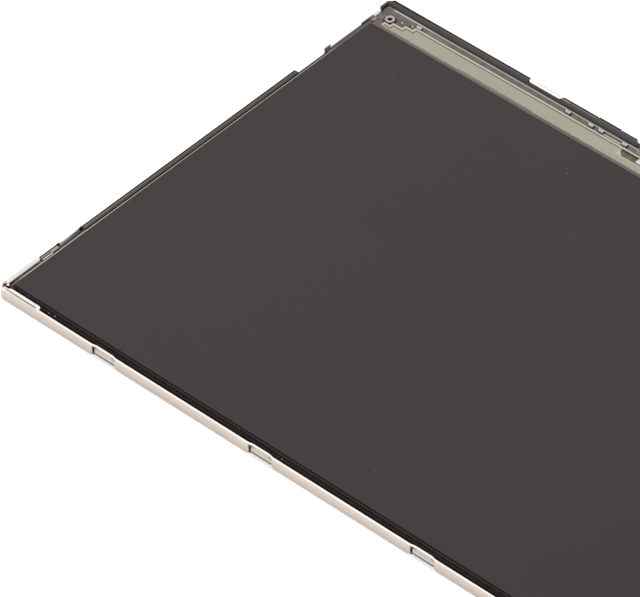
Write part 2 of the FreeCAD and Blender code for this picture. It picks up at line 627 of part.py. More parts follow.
def side_cuts():
    """Room in the frame for the pressed-in strips and for the openings of the left wall."""
    half = WINDOW_LENGTH / 2 + PRESS_LEAD
    room = block(-half, half, 0, PRESS_DEPTH + TONGUE_SET + SHEET + PRESS_CLEARANCE, 0, RIM_TOP)
    cuts = [on_near_wall(room, x) for x in spread(WINDOW_COUNT, WINDOW_PITCH)]
    cuts += [place(room, NEAR + SHORT_WINDOW_FROM_NEAR) for place in (on_left_wall, on_right_wall)]
    clear = -GLASS_END - FRAME_CLEARANCE
    cuts.append(block(LEFT, clear, SIDE_GAP_NEAR, SIDE_GAP_FAR, 0, RIM_TOP))
    cuts.append(block(LEFT, clear, CORNER_GAP_NEAR, CORNER_GAP_FAR, 0, RIM_TOP))
    return cuts


def mould_frame():
    """Moulded frame: ring, glass guard, board shelf and far bar in one piece."""
    body = fused([frame_ring(), frame_rim(), frame_bar()] + side_flanges() + corner_blocks())
    return body.cut(bar_cuts() + side_cuts()).removeSplitter()


def sheet_ears(clearance, z0, z1):
    """Small locating ears at the two short edges of the backlight's sheets."""
    y0 = NEAR + SHEET_EAR_FROM_NEAR - clearance
    y1 = NEAR + SHEET_EAR_FROM_NEAR + SHEET_EAR_LENGTH + clearance
    inner = SEAT_END - SHEET_EAR_WIDTH
    outer = SEAT_END - OPTICAL_GAP + SHEET_EAR_WIDTH + clearance
    return [block(-outer, -inner, y0, y1, z0, z1), block(inner, outer, y0, y1, z0, z1)]


def optical_sheet(z0, z1):
    """One sheet of the backlight, with its locating ears."""
    body = block(-SEAT_END + OPTICAL_GAP, SEAT_END - OPTICAL_GAP, SEAT_NEAR + OPTICAL_GAP, GUIDE_FAR, z0, z1)
    return fused([body] + sheet_ears(0, z0, z1))


def led_flex():
    """Strip on the tray's floor that carries the row of light sources."""
    start = GUIDE_FAR + LED_GAP
    return block(-SEAT_END + OPTICAL_GAP, SEAT_END - OPTICAL_GAP, start, start + LED_FLEX_WIDTH,
                 FLOOR_TOP, FLOOR_TOP + LED_FLEX_THICKNESS)


def leds():
    """Row of side-firing light sources, each with a shallow lens recess towards the light guide."""
    start = GUIDE_FAR + LED_GAP
    z0 = FLOOR_TOP + LED_FLEX_THICKNESS
    rim = (LED_HEIGHT - LED_LENS_HEIGHT) / 2
    row = []
    pitch = 2 * (SEAT_END - OPTICAL_GAP - LED_END_GAP - LED_LENGTH / 2) / (LED_COUNT - 1)
    for x in spread(LED_COUNT, pitch):
        body = block(x - LED_LENGTH / 2, x + LED_LENGTH / 2, start, start + LED_WIDTH, z0, z0 + LED_HEIGHT)
        lens = block(x - LED_LENS_LENGTH / 2, x + LED_LENS_LENGTH / 2,
                     start - OVERCUT, start + LED_LENS_DEPTH, z0 + rim, z0 + LED_HEIGHT - rim)
        row.append(body.cut(lens))
    return Part.makeCompound(row)


def seat_tape():
    """Black tape ring between the frame's seat and the cell."""
    outer = block(-GLASS_END, GLASS_END, GLASS_NEAR, BASE_GLASS_FAR, SEAT_TOP, TAPE_TOP)
    overlap = SEAT_TAPE_OVERLAP + GUIDE_SEAT
    inner = block(-GLASS_END + overlap, GLASS_END - overlap, GLASS_NEAR + overlap, COVER_GLASS_FAR - overlap,
                  0, RIM_TOP)
    return outer.cut(inner)


def rear_polariser():
    inset = REAR_POLARISER_INSET
    return block(-POLARISER_END + inset, POLARISER_END - inset, POLARISER_NEAR + inset, POLARISER_FAR - inset,
                 TAPE_TOP, REAR_POLARISER_TOP)


def base_glass():
    return block(-GLASS_END, GLASS_END, GLASS_NEAR, BASE_GLASS_FAR, REAR_POLARISER_TOP, BASE_GLASS_TOP)


def cover_glass():
    return block(-GLASS_END, GLASS_END, GLASS_NEAR, COVER_GLASS_FAR, BASE_GLASS_TOP, COVER_GLASS_TOP)


def front_polariser():
    return block(-POLARISER_END, POLARISER_END, POLARISER_NEAR, POLARISER_FAR, COVER_GLASS_TOP, POLARISER_TOP)


def board_spot(from_end, from_edge):
    """Place on the board, measured from its left end and its far edge."""
    return BOARD_LEFT + from_end, BOARD_FAR - from_edge


def driver_board():
    """Long narrow board beside the glass, bored for the earth eyelet."""
    board = block(BOARD_LEFT, -BOARD_LEFT, BOARD_NEAR, BOARD_FAR, SHELF_TOP, BOARD_TOP)
    x, y = board_spot(EYELET_FROM_END, EYELET_FROM_EDGE)
    barrel = EYELET_BORE / 2 + EYELET_WALL
    return board.cut(Part.makeCylinder(barrel, BOARD_TOP, Vector(x, y, 0)))


def ground_eyelet():
    """Turned eyelet: a barrel through the board under a domed collar."""
    x, y = board_spot(EYELET_FROM_END, EYELET_FROM_EDGE)
    bore = EYELET_BORE / 2
    barrel = bore + EYELET_WALL
    collar = EYELET_DIAMETER / 2
    top = BOARD_TOP + EYELET_HEIGHT
    bevel = top - EYELET_BEVEL
    profile = [(bore, SHELF_TOP), (barrel, SHELF_TOP), (barrel, BOARD_TOP), (collar, BOARD_TOP),
               (collar, bevel), (collar - EYELET_BEVEL, top), (bore + EYELET_BEVEL, top), (bore, bevel)]
    edges = [line((r0, 0, z0), (r1, 0, z1)) for (r0, z0), (r1, z1) in zip(profile, profile[1:] + profile[:1])]
    ring = Part.Face(Part.Wire(edges)).revolve(Vector(0, 0, 0), Vector(0, 0, 1), 360)
    ring.translate(Vector(x, y, 0))
    return ring


def test_points():
    """Low solder points on the board, tapered towards a small crown."""
    levels = ((TEST_POINT_DIAMETER / 2, BOARD_TOP), (TEST_POINT_CROWN / 2, BOARD_TOP + TEST_POINT_HEIGHT))
    turns = [2 * math.pi * i / TEST_POINT_SIDES for i in range(TEST_POINT_SIDES + 1)]
    domes = []
    for from_end, from_edge in TEST_POINT_SPOTS:
        x, y = board_spot(from_end, from_edge)
        rings = [Part.makePolygon([Vector(x + r * math.cos(t), y + r * math.sin(t), z) for t in turns])
                 for r, z in levels]
        domes.append(Part.makeLoft(rings, True, True))
    return Part.makeCompound(domes)


def chip(x, y):
    """Small chip part: a body between two slightly thicker end caps."""
    half = CHIP_LENGTH / 2
    side = CHIP_WIDTH / 2
    step = CHIP_CAP_STEP
    body = block(x - half + CHIP_CAP, x + half - CHIP_CAP, y - side + step, y + side - step,
                 BOARD_TOP, BOARD_TOP + CHIP_HEIGHT - step)
    left = block(x - half, x - half + CHIP_CAP, y - side, y + side, BOARD_TOP, BOARD_TOP + CHIP_HEIGHT)
    right = block(x + half - CHIP_CAP, x + half, y - side, y + side, BOARD_TOP, BOARD_TOP + CHIP_HEIGHT)
    return fused([body, left, right])


def capacitors():
    """Chip capacitors along the board's far side, the same row at both ends."""
    row = []
    y = BOARD_FAR - CAPACITOR_FROM_EDGE
    for from_flex in CAPACITOR_FROM_FLEX:
        x = FLEX_FOOT_LENGTH / 2 + from_flex
        row += [chip(x, y), chip(-x, y)]
    return Part.makeCompound(row)


def resistors():
    """Chip resistor beside each end of the film."""
    x, y = board_spot(RESISTOR_FROM_END, RESISTOR_FROM_EDGE)
    return Part.makeCompound([chip(x, y), chip(-x, y)])


def power_chips():
    """Square supply parts in the film's window, with chamfered tops."""
    half = POWER_CHIP_SIDE / 2
    y = FILM_WINDOW_NEAR + POWER_CHIP_GAP + half
    row = []
    for x in spread(POWER_CHIP_COUNT, POWER_CHIP_PITCH):
        body = block(x - half, x + half, y - half, y + half, BOARD_TOP, BOARD_TOP + POWER_CHIP_HEIGHT)
        crown = [e for e in body.Edges if e.BoundBox.ZMin > BOARD_TOP + POWER_CHIP_HEIGHT / 2]
        row.append(body.makeChamfer(POWER_CHIP_CHAMFER, crown))
    return Part.makeCompound(row)


def driver_chip_rooms(clearance, top):
    """Blocks at the places of the driver chips on the glass ledge."""
    y0 = BASE_GLASS_FAR - BOND_STRIP_LAP - 2 * POCKET_CLEARANCE - DRIVER_CHIP_WIDTH
    half = DRIVER_CHIP_LENGTH / 2
    y1 = y0 + DRIVER_CHIP_WIDTH
    return [block(x - half - clearance, x + half + clearance, y0 - clearance, y1 + clearance, BOARD_TOP, top)
            for x in spread(DRIVER_CHIP_COUNT, DRIVER_CHIP_PITCH)]


def bond_strip():
    """Thin conducting strip that laps from the glass ledge to the board."""
    end = GLASS_END - BOND_STRIP_INSET
    return block(-end, end, BASE_GLASS_FAR - BOND_STRIP_LAP, BOARD_NEAR + BOND_STRIP_LAP,
                 BOARD_TOP, BOND_STRIP_TOP)


def stepped_outline(border, near_border):
    """Film outline, set in by a border: its left end climbs in steps past the parts on the board."""
    x = LEFT + FILM_END_INSET + border
    y = FILM_FAR - len(FILM_STEP_LENGTHS) * FILM_STEP_RISE - border
    points = [(x, FILM_NEAR + near_border), (x, y)]
    for length in FILM_STEP_LENGTHS:
        x += length
        points += [(x, y), (x, y + FILM_STEP_RISE)]
        y += FILM_STEP_RISE
    end = RIGHT - FILM_END_INSET - border
    return points + [(end, FILM_FAR - border), (end, FILM_NEAR + near_border)]


def ledge_film():
    """Protective film over the glass ledge and the board's near side: a thick border round the pad's well."""
    film = slab(stepped_outline(0, 0), BOND_STRIP_TOP, PAD_TOP)
    well = slab(stepped_outline(FILM_BORDER - FILM_GROOVE, -OVERCUT), FILM_TOP, RIM_TOP)
    half = FILM_WINDOW_LENGTH / 2
    window = plate(-half, half, FILM_WINDOW_NEAR, FILM_WINDOW_FAR, 0, RIM_TOP, FILM_WINDOW_CORNER)
    return film.cut([well, window] + driver_chip_rooms(POCKET_CLEARANCE, RIM_TOP))


def film_pad():
    """Inner layer of the film, set in all round and hollowed over the driver chips."""
    pad = slab(stepped_outline(FILM_BORDER, PAD_NEAR_BORDER), FILM_TOP, PAD_TOP)
    half = FILM_WINDOW_LENGTH / 2 + FILM_WINDOW_BORDER / 2
    near = FILM_WINDOW_NEAR - FILM_WINDOW_BORDER / 2
    window = plate(-half, half, near, FILM_FAR + OVERCUT, 0, RIM_TOP, FILM_WINDOW_CORNER)
    chip_top = BOARD_TOP + DRIVER_CHIP_HEIGHT + POCKET_CLEARANCE
    return pad.cut([window] + driver_chip_rooms(POCKET_CLEARANCE, chip_top))


def signal_flex():
    """Flat flex: a long foot on the board, a taper and a straight plug-in tail."""
    foot = FLEX_FOOT_LENGTH / 2
    tail = CONTACT_COUNT * CONTACT_PITCH / 2 + CONTACT_MARGIN / 2
    far = BOARD_FAR - FLEX_FOOT_GAP
    start = far - FLEX_FOOT_WIDTH
    shoulder = FAR + FLEX_NECK
    neck = shoulder + FLEX_TAPER
    base = plate(-foot, foot, start, shoulder, BOARD_TOP, BOARD_TOP + FLEX_THICKNESS, FLEX_FOOT_CORNER)
    tongue = slab([(-foot + FLEX_FOOT_CORNER, shoulder - FLEX_FOOT_CORNER), (foot - FLEX_FOOT_CORNER,
                   shoulder - FLEX_FOOT_CORNER), (foot - FLEX_FOOT_CORNER, shoulder), (tail, neck),
                   (tail, FLEX_END), (-tail, FLEX_END), (-tail, neck), (-foot + FLEX_FOOT_CORNER, shoulder)],
                  BOARD_TOP, BOARD_TOP + FLEX_THICKNESS)
    return fused([base, tongue])


def flex_stiffener():
    """Stiffening plate under the plug-in end."""
    tail = CONTACT_COUNT * CONTACT_PITCH / 2 + CONTACT_MARGIN / 2
    return block(-tail, tail, FLEX_END - STIFFENER_LENGTH, FLEX_END,
                 BOARD_TOP - STIFFENER_THICKNESS, BOARD_TOP)


def flex_contacts():
    """Row of plated contacts on the plug-in end."""
    y1 = FLEX_END - CONTACT_END_GAP
    z0 = BOARD_TOP + FLEX_THICKNESS
    half = CONTACT_WIDTH / 2
    return Part.makeCompound([block(x - half, x + half, y1 - CONTACT_LENGTH, y1, z0, z0 + CONTACT_THICKNESS)
                              for x in spread(CONTACT_COUNT, CONTACT_PITCH)])


PIECES = {
    "rear_tray": rear_tray(),
    "mould_frame": mould_frame(),
    "reflector_sheet": optical_sheet(FLOOR_TOP, REFLECTOR_TOP),
    "light_guide": optical_sheet(REFLECTOR_TOP, GUIDE_TOP),
    "diffuser_sheet": optical_sheet(GUIDE_TOP, DIFFUSER_TOP),
    "lower_prism_sheet": optical_sheet(DIFFUSER_TOP, LOWER_PRISM_TOP),
    "upper_prism_sheet": optical_sheet(LOWER_PRISM_TOP, SEAT_TOP),
    "led_flex": led_flex(),
    "leds": leds(),
    "seat_tape": seat_tape(),
    "rear_polariser": rear_polariser(),
    "base_glass": base_glass(),
    "cover_glass": cover_glass(),
    "front_polariser": front_polariser(),
    "driver_chips": Part.makeCompound(driver_chip_rooms(0, BOARD_TOP + DRIVER_CHIP_HEIGHT)),
    "bond_strip": bond_strip(),
    "ledge_film": ledge_film(),
    "film_pad": film_pad(),
    "driver_board": driver_board(),
    "ground_eyelet": ground_eyelet(),
    "test_points": test_points(),
    "capacitors": capacitors(),
    "resistors": resistors(),
    "power_chips": power_chips(),
    "signal_flex": signal_flex(),
    "flex_stiffener": flex_stiffener(),
    "flex_contacts": flex_contacts(),
}

os.makedirs("parts", exist_ok=True)
for name, shape in PIECES.items():
    shape.exportStep("parts/" + name + ".step")
    print(name, "solids", len(shape.Solids), "valid", shape.isValid(), "volume", round(shape.Volume, 3))
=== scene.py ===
"""Finishes, small pieces and the stage of a flat LCD screen module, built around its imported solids."""
import math

import bpy
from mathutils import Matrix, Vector


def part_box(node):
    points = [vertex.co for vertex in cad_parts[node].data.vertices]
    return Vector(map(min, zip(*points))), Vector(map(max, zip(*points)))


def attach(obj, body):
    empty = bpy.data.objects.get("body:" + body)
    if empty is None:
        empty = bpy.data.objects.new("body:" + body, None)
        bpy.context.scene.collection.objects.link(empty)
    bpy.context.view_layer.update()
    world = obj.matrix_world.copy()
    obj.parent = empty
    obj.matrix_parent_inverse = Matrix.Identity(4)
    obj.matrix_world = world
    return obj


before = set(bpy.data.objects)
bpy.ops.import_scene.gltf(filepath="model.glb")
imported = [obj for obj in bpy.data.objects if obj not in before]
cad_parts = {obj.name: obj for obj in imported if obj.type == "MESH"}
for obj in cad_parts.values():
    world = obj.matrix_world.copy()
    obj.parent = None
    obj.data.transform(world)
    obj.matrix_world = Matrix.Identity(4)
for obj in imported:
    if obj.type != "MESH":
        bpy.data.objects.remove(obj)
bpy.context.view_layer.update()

bl_info = {
    "name": "LCD screen module",
    "version": (1, 0, 0),
    "blender": (4, 5, 0),
    "location": "View3D > Sidebar > Screen",
    "description": "Finishes, small pieces and stage of a flat LCD screen module",
    "category": "Object",
}

MM = 0.001
BODY = "root"


def in_mm(corners):
    """Both corners of a box, in millimetres."""
    return [corner / MM for corner in corners]


BOARD_HIGH = in_mm(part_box("driver_board"))[1]
TRAY_LOW, TRAY_HIGH = in_mm(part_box("rear_tray"))
FRAME_HIGH = in_mm(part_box("mould_frame"))[1]
POLARISER_LOW, POLARISER_HIGH = in_mm(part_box("front_polariser"))
GLASS_LOW, GLASS_HIGH = in_mm(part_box("cover_glass"))
FILM_LOW, FILM_HIGH = in_mm(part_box("ledge_film"))
PAD_LOW = in_mm(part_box("film_pad"))[0]
CAPACITOR_LOW, CAPACITOR_HIGH = in_mm(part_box("capacitors"))
RESISTOR_LOW, RESISTOR_HIGH = in_mm(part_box("resistors"))
SUPPLY_LOW, SUPPLY_HIGH = in_mm(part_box("power_chips"))

# Places and sizes in millimetres, places from the middle of the module
SOFT = 0.04  # usual softness of a mask's ends
CAPACITORS_X = (22.7, 28.2, 30.6, 36.0)
SUPPLY_X = (5.87, 17.61)
CHIP_SOLDER = (0.525, 0.56, 0.26)  # half a chip's length, then the width and height of its solder
SUPPLY_SOLDER = (0.55, 0.8, 0.2)
EYELET_SPOT = (-77.16, 47.765)
EYELET_BORE, EYELET_REACH = 0.44, 0.9  # radius of the dark hole, and where the ring's bright face ends
VIAS = ((-79.83, 48.77), (-79.6, 50.35), (-74.88, 48.3), (-73.2, 48.9))
VIA_RADIUS = 0.2
TONGUE_PITCH, TONGUE_HALF = 36.8, 2.75  # spacing of the near windows, and half the length of their tongues
SLOPE_X = (80.12, 80.06)  # where the side strips begin to slope inwards
WINDOW_X = 22.4  # the film's window: half its length, then its near and its far side
WINDOW_NEAR, WINDOW_FAR = 47.155, 48.705
LEAF_BASE = 2.2
LEAF_TURN = 38.0  # degrees
# Strips at the left end, which are mirrored to the right: start, end, width, level and height
CORNER_STRIPS = (((-79.7, -51.6), (-78.6, -51.6), 0.55, 2.66, 0.1),  # gusset
                 ((-80.15, -50.95), (-80.15, -50.15), 0.34, 2.1, 0.3),  # shelf
                 ((-79.78, -50.35), (-79.28, -50.85), 0.5, 2.68, 0.12))  # tip of the lip
FRAME_STRIPS = (((-80.12, -37.35), (-80.12, -36.45), 0.36, 1.25, 0.9),  # rib behind the slit
                ((-79.45, 25.2), (-79.45, 33.0), 0.48, 1.4, 0.96))  # rail beside the glass
TRACK_HEIGHT = 0.03
PALE_LINE = ((-27.5, 49.59), (-23.46, 49.59))
BARE_TRACKS = (((-79.2, 46.75), (-79.55, 48.1)), ((-78.8, 46.75), (-79.15, 48.1)),
               ((-78.45, 46.75), (-78.8, 48.1)), ((-76.5, 48.95), (-76.1, 50.1)))
DAB_SPOT, DAB_HEIGHT = (-79.68, 45.98, 2.08), 0.3
SMEAR_SPOT, SMEAR_SIZE = (-80.3, 47.6, 1.95), (0.8, 2.3, 0.3)
RIM_DROP = 0.5  # how far the frame's rim lies below its bar
DUST_ON_FILM = ((-70.92, 41.0), (-72.6, 33.57), (-66.05, 36.04), (-13.43, 24.79), (-0.78, -42.66), (-24.98, 36.63))
CHIPS_ON_GLASS = ((-79.02, -24.32), (-79.0, -12.55), (-79.02, -9.76), (-79.03, 44.45))
LINT_ON_RIM = ((-69.54, -50.69), (-68.2, -50.6), (-14.6, -50.62))

# What all finishes share
GRAIN_SPAN = (0.3, 0.7)  # nearly all values of the grain
FLECK_SCALE, FLECK_REACH = 900.0, 0.06
SMUDGE_ROUGH = 0.25  # roughness that a full smudge adds
BUMP_DEPTH = 0.02 * MM
FILM_LOOK = {"rough": 0.4, "scale": 1500.0, "bump": 0.15, "smudge": 0.2, "smudge_scale": 200.0, "specular": 0.35}
GLASS_LOOK = {"rough": 0.25, "scale": 3000.0, "bump": 0.03, "smudge": 0.2, "smudge_scale": 150.0,
              "rough_spread": 0.05, "specular": 0.3}
WELD_REACH = 0.0005 * MM
SHARP_ANGLE = math.radians(50.0)

# The stage, in metres: each lamp's name, place and side, and the property with its power
LAMPS = (("key_lamp", (-0.1, 0.1, 1.3), 0.8, "key"), ("fill_lamp", (0.3, -1.1, 0.7), 0.8, "fill"),
         ("back_lamp", (-0.62, 0.68, 0.86), 0.7, "back"))
LOOKING_RAYS = ("Is Camera Ray", "Is Glossy Ray", "Is Transmission Ray")
FLOOR_DROP = 0.01 * MM
SENSOR_WIDTH = 36.0
CLIP_START, CLIP_END = 0.01, 50.0


def tone(name, words, default):
    """One colour that a user may change."""
    return bpy.props.FloatVectorProperty(name=name, description=words, subtype="COLOR", size=3,
                                         min=0.0, max=1.0, default=default)


def span(name, words, default):
    """One length in metres that a user may change."""
    return bpy.props.FloatProperty(name=name, description=words, unit="LENGTH", subtype="DISTANCE",
                                   min=0.0, default=default)


def power(name, words, default):
    """One lamp's power that a user may change."""
    return bpy.props.FloatProperty(name=name, description=words, unit="POWER", min=0.0, default=default)


class ScreenColours(bpy.types.PropertyGroup):
    """Colours of the finishes."""
    steel: tone("Steel", "Rolled sheet of the tray", (0.655, 0.568, 0.505))
    # Painted highlight: the upper edges of walls and lips get a colour brighter than the steel
    rim_highlight: tone("Bright rim", "Bright upper edges of the tray's walls and lips", (0.87, 0.82, 0.775))
    side_lip: tone("Side lip", "Upper faces of the lips on the side walls", (0.585, 0.57, 0.535))
    # Painted highlight: the up-facing steel over the far bar is made near white
    far_strip_highlight: tone("Far strip", "Bright strips pressed over the far bar", (0.93, 0.92, 0.91))
    # Painted shade: the upper half of the tongues is darkened for the shade under the window's upper edge
    tongue: tone("Tongue", "Stained upper half of the tongues in the near windows", (0.60, 0.565, 0.48))
    tongue_shade: tone("Tongue, shaded", "Tongues below the upper edge of the near windows", (0.36, 0.33, 0.275))
    frame_black: tone("Frame", "Black moulding round the cell", (0.004, 0.003, 0.002))
    frame_brown: tone("Frame rim", "Upper faces of the moulding's rim", (0.024, 0.0145, 0.0135))
    frame_corner: tone("Frame corner", "Moulding in the near corners", (0.078, 0.064, 0.056))
    # Painted light: a pale brown far lighter than the moulding, so that it reads as lit under the side lips' shadow
    lip_gap_light: tone("Gap at the lips", "Brown tape that shows between the side lips and the glass", (0.32, 0.275, 0.23))
    side_rim: tone("Side rim", "Narrow rim beside the glass at both ends", (0.105, 0.092, 0.084))
    flange_strip: tone("Flange strip", "Pale strip along the side flanges", (0.19, 0.165, 0.145))
    flange: tone("Flange", "Upper faces of the side flanges", (0.088, 0.078, 0.066))
    flange_end: tone("Flange end", "Bare near ends of the side flanges", (0.40, 0.385, 0.31))
    flange_shine: tone("Flange shine", "Bright line on the near end of the left flange", (1.0, 0.95, 0.93))
    bar_grey: tone("Bar", "Matt upper face of the far bar", (0.078, 0.072, 0.068))
    side_strip: tone("Side strip", "Steel strip over the side windows", (0.60, 0.61, 0.61))
    # Darker olive steel, used at the near ends of the side lips, on the low stretch of the side walls and on the
    # corner leaves
    olive_steel: tone("Stained steel", "Steel where it is dull and stained", (0.30, 0.285, 0.235))
    # A paler line along the bar's outer edge, lightest near the notch
    pale_edge_line: tone("Rubbed edge", "Whitened line along the bar's outer edge", (0.42, 0.40, 0.385))
    polariser_warm: tone("Polariser, near left", "Dark film where it looks warmest", (0.0435, 0.0345, 0.0325))
    polariser_cool: tone("Polariser, far right", "Dark film where it looks coolest", (0.0355, 0.0283, 0.0275))
    glass: tone("Glass", "Dark printed margin of the cell's glass", (0.007, 0.005, 0.005))
    # Painted highlight: a pale colour on the glass's cut edges for the light they catch
    glass_edge_highlight: tone("Glass edge", "Cut edge of the glass", (0.66, 0.58, 0.56))
    ledge: tone("Ledge", "Glass ledge beside the film", (0.085, 0.078, 0.074))
    sheet_white: tone("White sheet", "Reflector and light sources", (0.84, 0.84, 0.83))
    sheet_milky: tone("Milky sheet", "Films over the light guide", (0.76, 0.78, 0.79))
    guide: tone("Light guide", "Clear plate of the backlight", (0.72, 0.77, 0.77))
    tape: tone("Tape", "Black tape under the cell", (0.02, 0.02, 0.02))
    film: tone("Film", "Border of the film over the ledge", (0.54, 0.53, 0.40))
    # Painted shade: dark olive in the groove round the film's inner layer and along the film's far edge
    film_groove_shade: tone("Film groove", "Groove round the film's inner layer", (0.19, 0.18, 0.11))
    pad: tone("Pad", "Inner layer of the film", (0.41, 0.383, 0.305))
    board: tone("Board", "Solder mask of the driver board", (0.165, 0.15, 0.135))
    board_edge: tone("Board edge", "Bare line along the board's far edge", (0.50, 0.465, 0.44))
    # Dark solder mask round the eyelet, at the vias and in the film's window, also used for painted shadows beside the
    # parts and on the eyelet
    board_dark_and_shadow: tone("Board, dark", "Dark mask round the parts and in the film's window", (0.040, 0.038, 0.026))
    eyelet: tone("Eyelet", "Plated ring", (0.50, 0.385, 0.37))
    solder: tone("Solder", "Tinned ends and solder points", (0.70, 0.69, 0.67))
    ceramic: tone("Chip parts", "Pale ceramic", (0.50, 0.48, 0.44))
    die: tone("Driver chips", "Polished chips under the film", (0.15, 0.15, 0.17))
    flex: tone("Flex", "Amber flexible circuit", (0.32, 0.19, 0.11))
    print_pale: tone("Pale print", "Printed lines on the board", (0.88, 0.85, 0.80))
    copper: tone("Bare copper", "Bare tracks beside the eyelet", (0.30, 0.235, 0.225))
    gold: tone("Contacts", "Plated contacts", (0.83, 0.62, 0.28))
    lacquer: tone("Lacquer", "Red dab beside the corner opening", (0.19, 0.078, 0.085))
    lacquer_pale: tone("Lacquer, thin", "Red dab where it is thin", (0.46, 0.28, 0.29))
    lacquer_smear: tone("Lacquer, smeared", "Pale smear in the corner opening", (0.88, 0.81, 0.815))
    dust: tone("Dust", "Pale specks and lint", (0.40, 0.38, 0.365))


class ScreenSizes(bpy.types.PropertyGroup):
    """Sizes of the small pieces."""
    sheet_edge: span("Sheet edge", "Rounding on the tray's cut edges", 0.04 * MM)
    frame_edge: span("Moulding edge", "Rounding on the moulding's edges", 0.03 * MM)
    part_edge: span("Part edge", "Rounding on the eyelet and the chip parts", 0.03 * MM)
    corner_radius: span("Corner radius", "Outer radius of the tray's corners", 1.2 * MM)
    leaf_sheet: span("Leaf sheet", "Thickness of the leaves beside the near corners", 0.2 * MM)
    leaf_inset: span("Leaf inset", "How far the leaves stand in from the wall's face", 0.03 * MM)
    leaf_height: span("Leaf height", "Height of the leaves, with their foot", 0.46 * MM)
    dab_length: span("Dab length", "Length of the red lacquer dab", 1.6 * MM)
    dab_width: span("Dab width", "Width of the red lacquer dab", 1.25 * MM)
    window_corner: span("Window corner", "Reach of the slanted corners of the film's window", 1.05 * MM)
    window_corner_sheet: span("Window corner sheet", "Thickness of those corners over the board", 0.12 * MM)
    fillet: span("Solder fillet", "Reach of the solder at a chip part's end", 0.2 * MM)
    track: span("Track", "Width of the bare tracks on the board", 0.13 * MM)
    speck: span("Speck", "Size of a speck of dust", 0.2 * MM)


class ScreenStage(bpy.types.PropertyGroup):
    """Camera, floor and lamps."""
    camera_place: bpy.props.FloatVectorProperty(
        name="Camera place", description="Where the camera stands", subtype="TRANSLATION", unit="LENGTH", size=3,
        default=(0.511564, -0.618283, 0.762166))
    camera_turn: bpy.props.FloatVectorProperty(
        name="Camera turn", description="How the camera is turned", subtype="EULER", unit="ROTATION", size=3,
        default=(math.radians(46.9602), math.radians(0.3994), math.radians(41.9597)))
    camera_lens: bpy.props.FloatProperty(
        name="Lens", description="Focal length in millimetres", unit="CAMERA", default=357.998)
    floor: tone("Floor", "Plain pale floor", (0.90, 0.90, 0.90))
    floor_lift: bpy.props.FloatProperty(
        name="Floor lift", description="How much the floor is lifted towards white where it is looked at", min=0.0,
        default=0.45)
    floor_side: span("Floor side", "Side of the square floor", 6.0)
    sky: bpy.props.FloatProperty(name="Sky", description="Strength of the even light", min=0.0, default=0.75)
    key: power("Key lamp", "Power of the large lamp overhead", 4.5)
    fill: power("Fill lamp", "Power of the lamp on the camera's side", 4.0)
    back: power("Back lamp", "Power of the lamp behind the far left corner", 0.55)


def colours():
    return bpy.context.scene.screen_colours


def sizes():
    return bpy.context.scene.screen_sizes


def node(tree, kind, sockets=None, **settings):
    """Adds one shader node with its settings and socket values."""
    made = tree.nodes.new(kind)
    for key, value in settings.items():
        setattr(made, key, value)
    for key, value in (sockets or {}).items():
        made.inputs[key].default_value = value
    return made


def wire(tree, *links):
    """Makes links, each given as a node, its output, another node and its input."""
    for start, out, end, into in links:
        tree.links.new(start.outputs[out], end.inputs[into])


def feed(tree, value, socket):
    """Links a socket, or sets a plain number or colour."""
    if isinstance(value, bpy.types.NodeSocket):
        tree.links.new(value, socket)
    elif isinstance(value, (int, float)):
        socket.default_value = value
    else:
        socket.default_value = (*value, 1.0)


def new_group(name, inputs, outputs):
    """Empty node group with named sockets of the given kinds."""
    group = bpy.data.node_groups.new(name, "ShaderNodeTree")
    for way, sockets in (("INPUT", inputs), ("OUTPUT", outputs)):
        for label, kind in sockets.items():
            group.interface.new_socket(name=label, in_out=way, socket_type="NodeSocket" + kind)
    return group, node(group, "NodeGroupInput"), node(group, "NodeGroupOutput")


def grain_group(name):
    """Fine and coarse grain: one value for colour and roughness, one height for bump."""
    group, start, end = new_group(name, {"Vector": "Vector", "Scale": "Float", "Stretch": "Vector"},
                                  {"Value": "Float", "Height": "Float"})
    stretched = node(group, "ShaderNodeVectorMath", operation="MULTIPLY")
    coarse = node(group, "ShaderNodeTexNoise", {"Detail": 3.0, "Roughness": 0.55})
    fine = node(group, "ShaderNodeTexNoise", {"Detail": 5.0, "Roughness": 0.65})
    fourfold = node(group, "ShaderNodeMath", {1: 4.0}, operation="MULTIPLY")
    both = node(group, "ShaderNodeMix", {"Factor": 0.5})
    wire(group, (start, "Vector", stretched, 0), (start, "Stretch", stretched, 1), (start, "Scale", coarse, "Scale"),
         (start, "Scale", fourfold, 0), (fourfold, 0, fine, "Scale"), (stretched, 0, coarse, "Vector"),
         (stretched, 0, fine, "Vector"), (coarse, "Fac", both, "A"), (fine, "Fac", both, "B"),
         (both, "Result", end, "Value"), (fine, "Fac", end, "Height"))
    return group


def smudge_group(name):
    """Soft broad marks, as from handling."""
    group, start, end = new_group(name, {"Vector": "Vector", "Scale": "Float", "Amount": "Float"}, {"Mask": "Float"})
    cloud = node(group, "ShaderNodeTexNoise", {"Detail": 4.0, "Roughness": 0.5, "Distortion": 0.8})
    ramp = node(group, "ShaderNodeMapRange", {"From Min": 0.42, "From Max": 0.72}, interpolation_type="SMOOTHSTEP")
    amount = node(group, "ShaderNodeMath", operation="MULTIPLY")
    wire(group, (start, "Vector", cloud, "Vector"), (start, "Scale", cloud, "Scale"), (cloud, "Fac", ramp, "Value"),
         (ramp, "Result", amount, 0), (start, "Amount", amount, 1), (amount, 0, end, "Mask"))
    return group


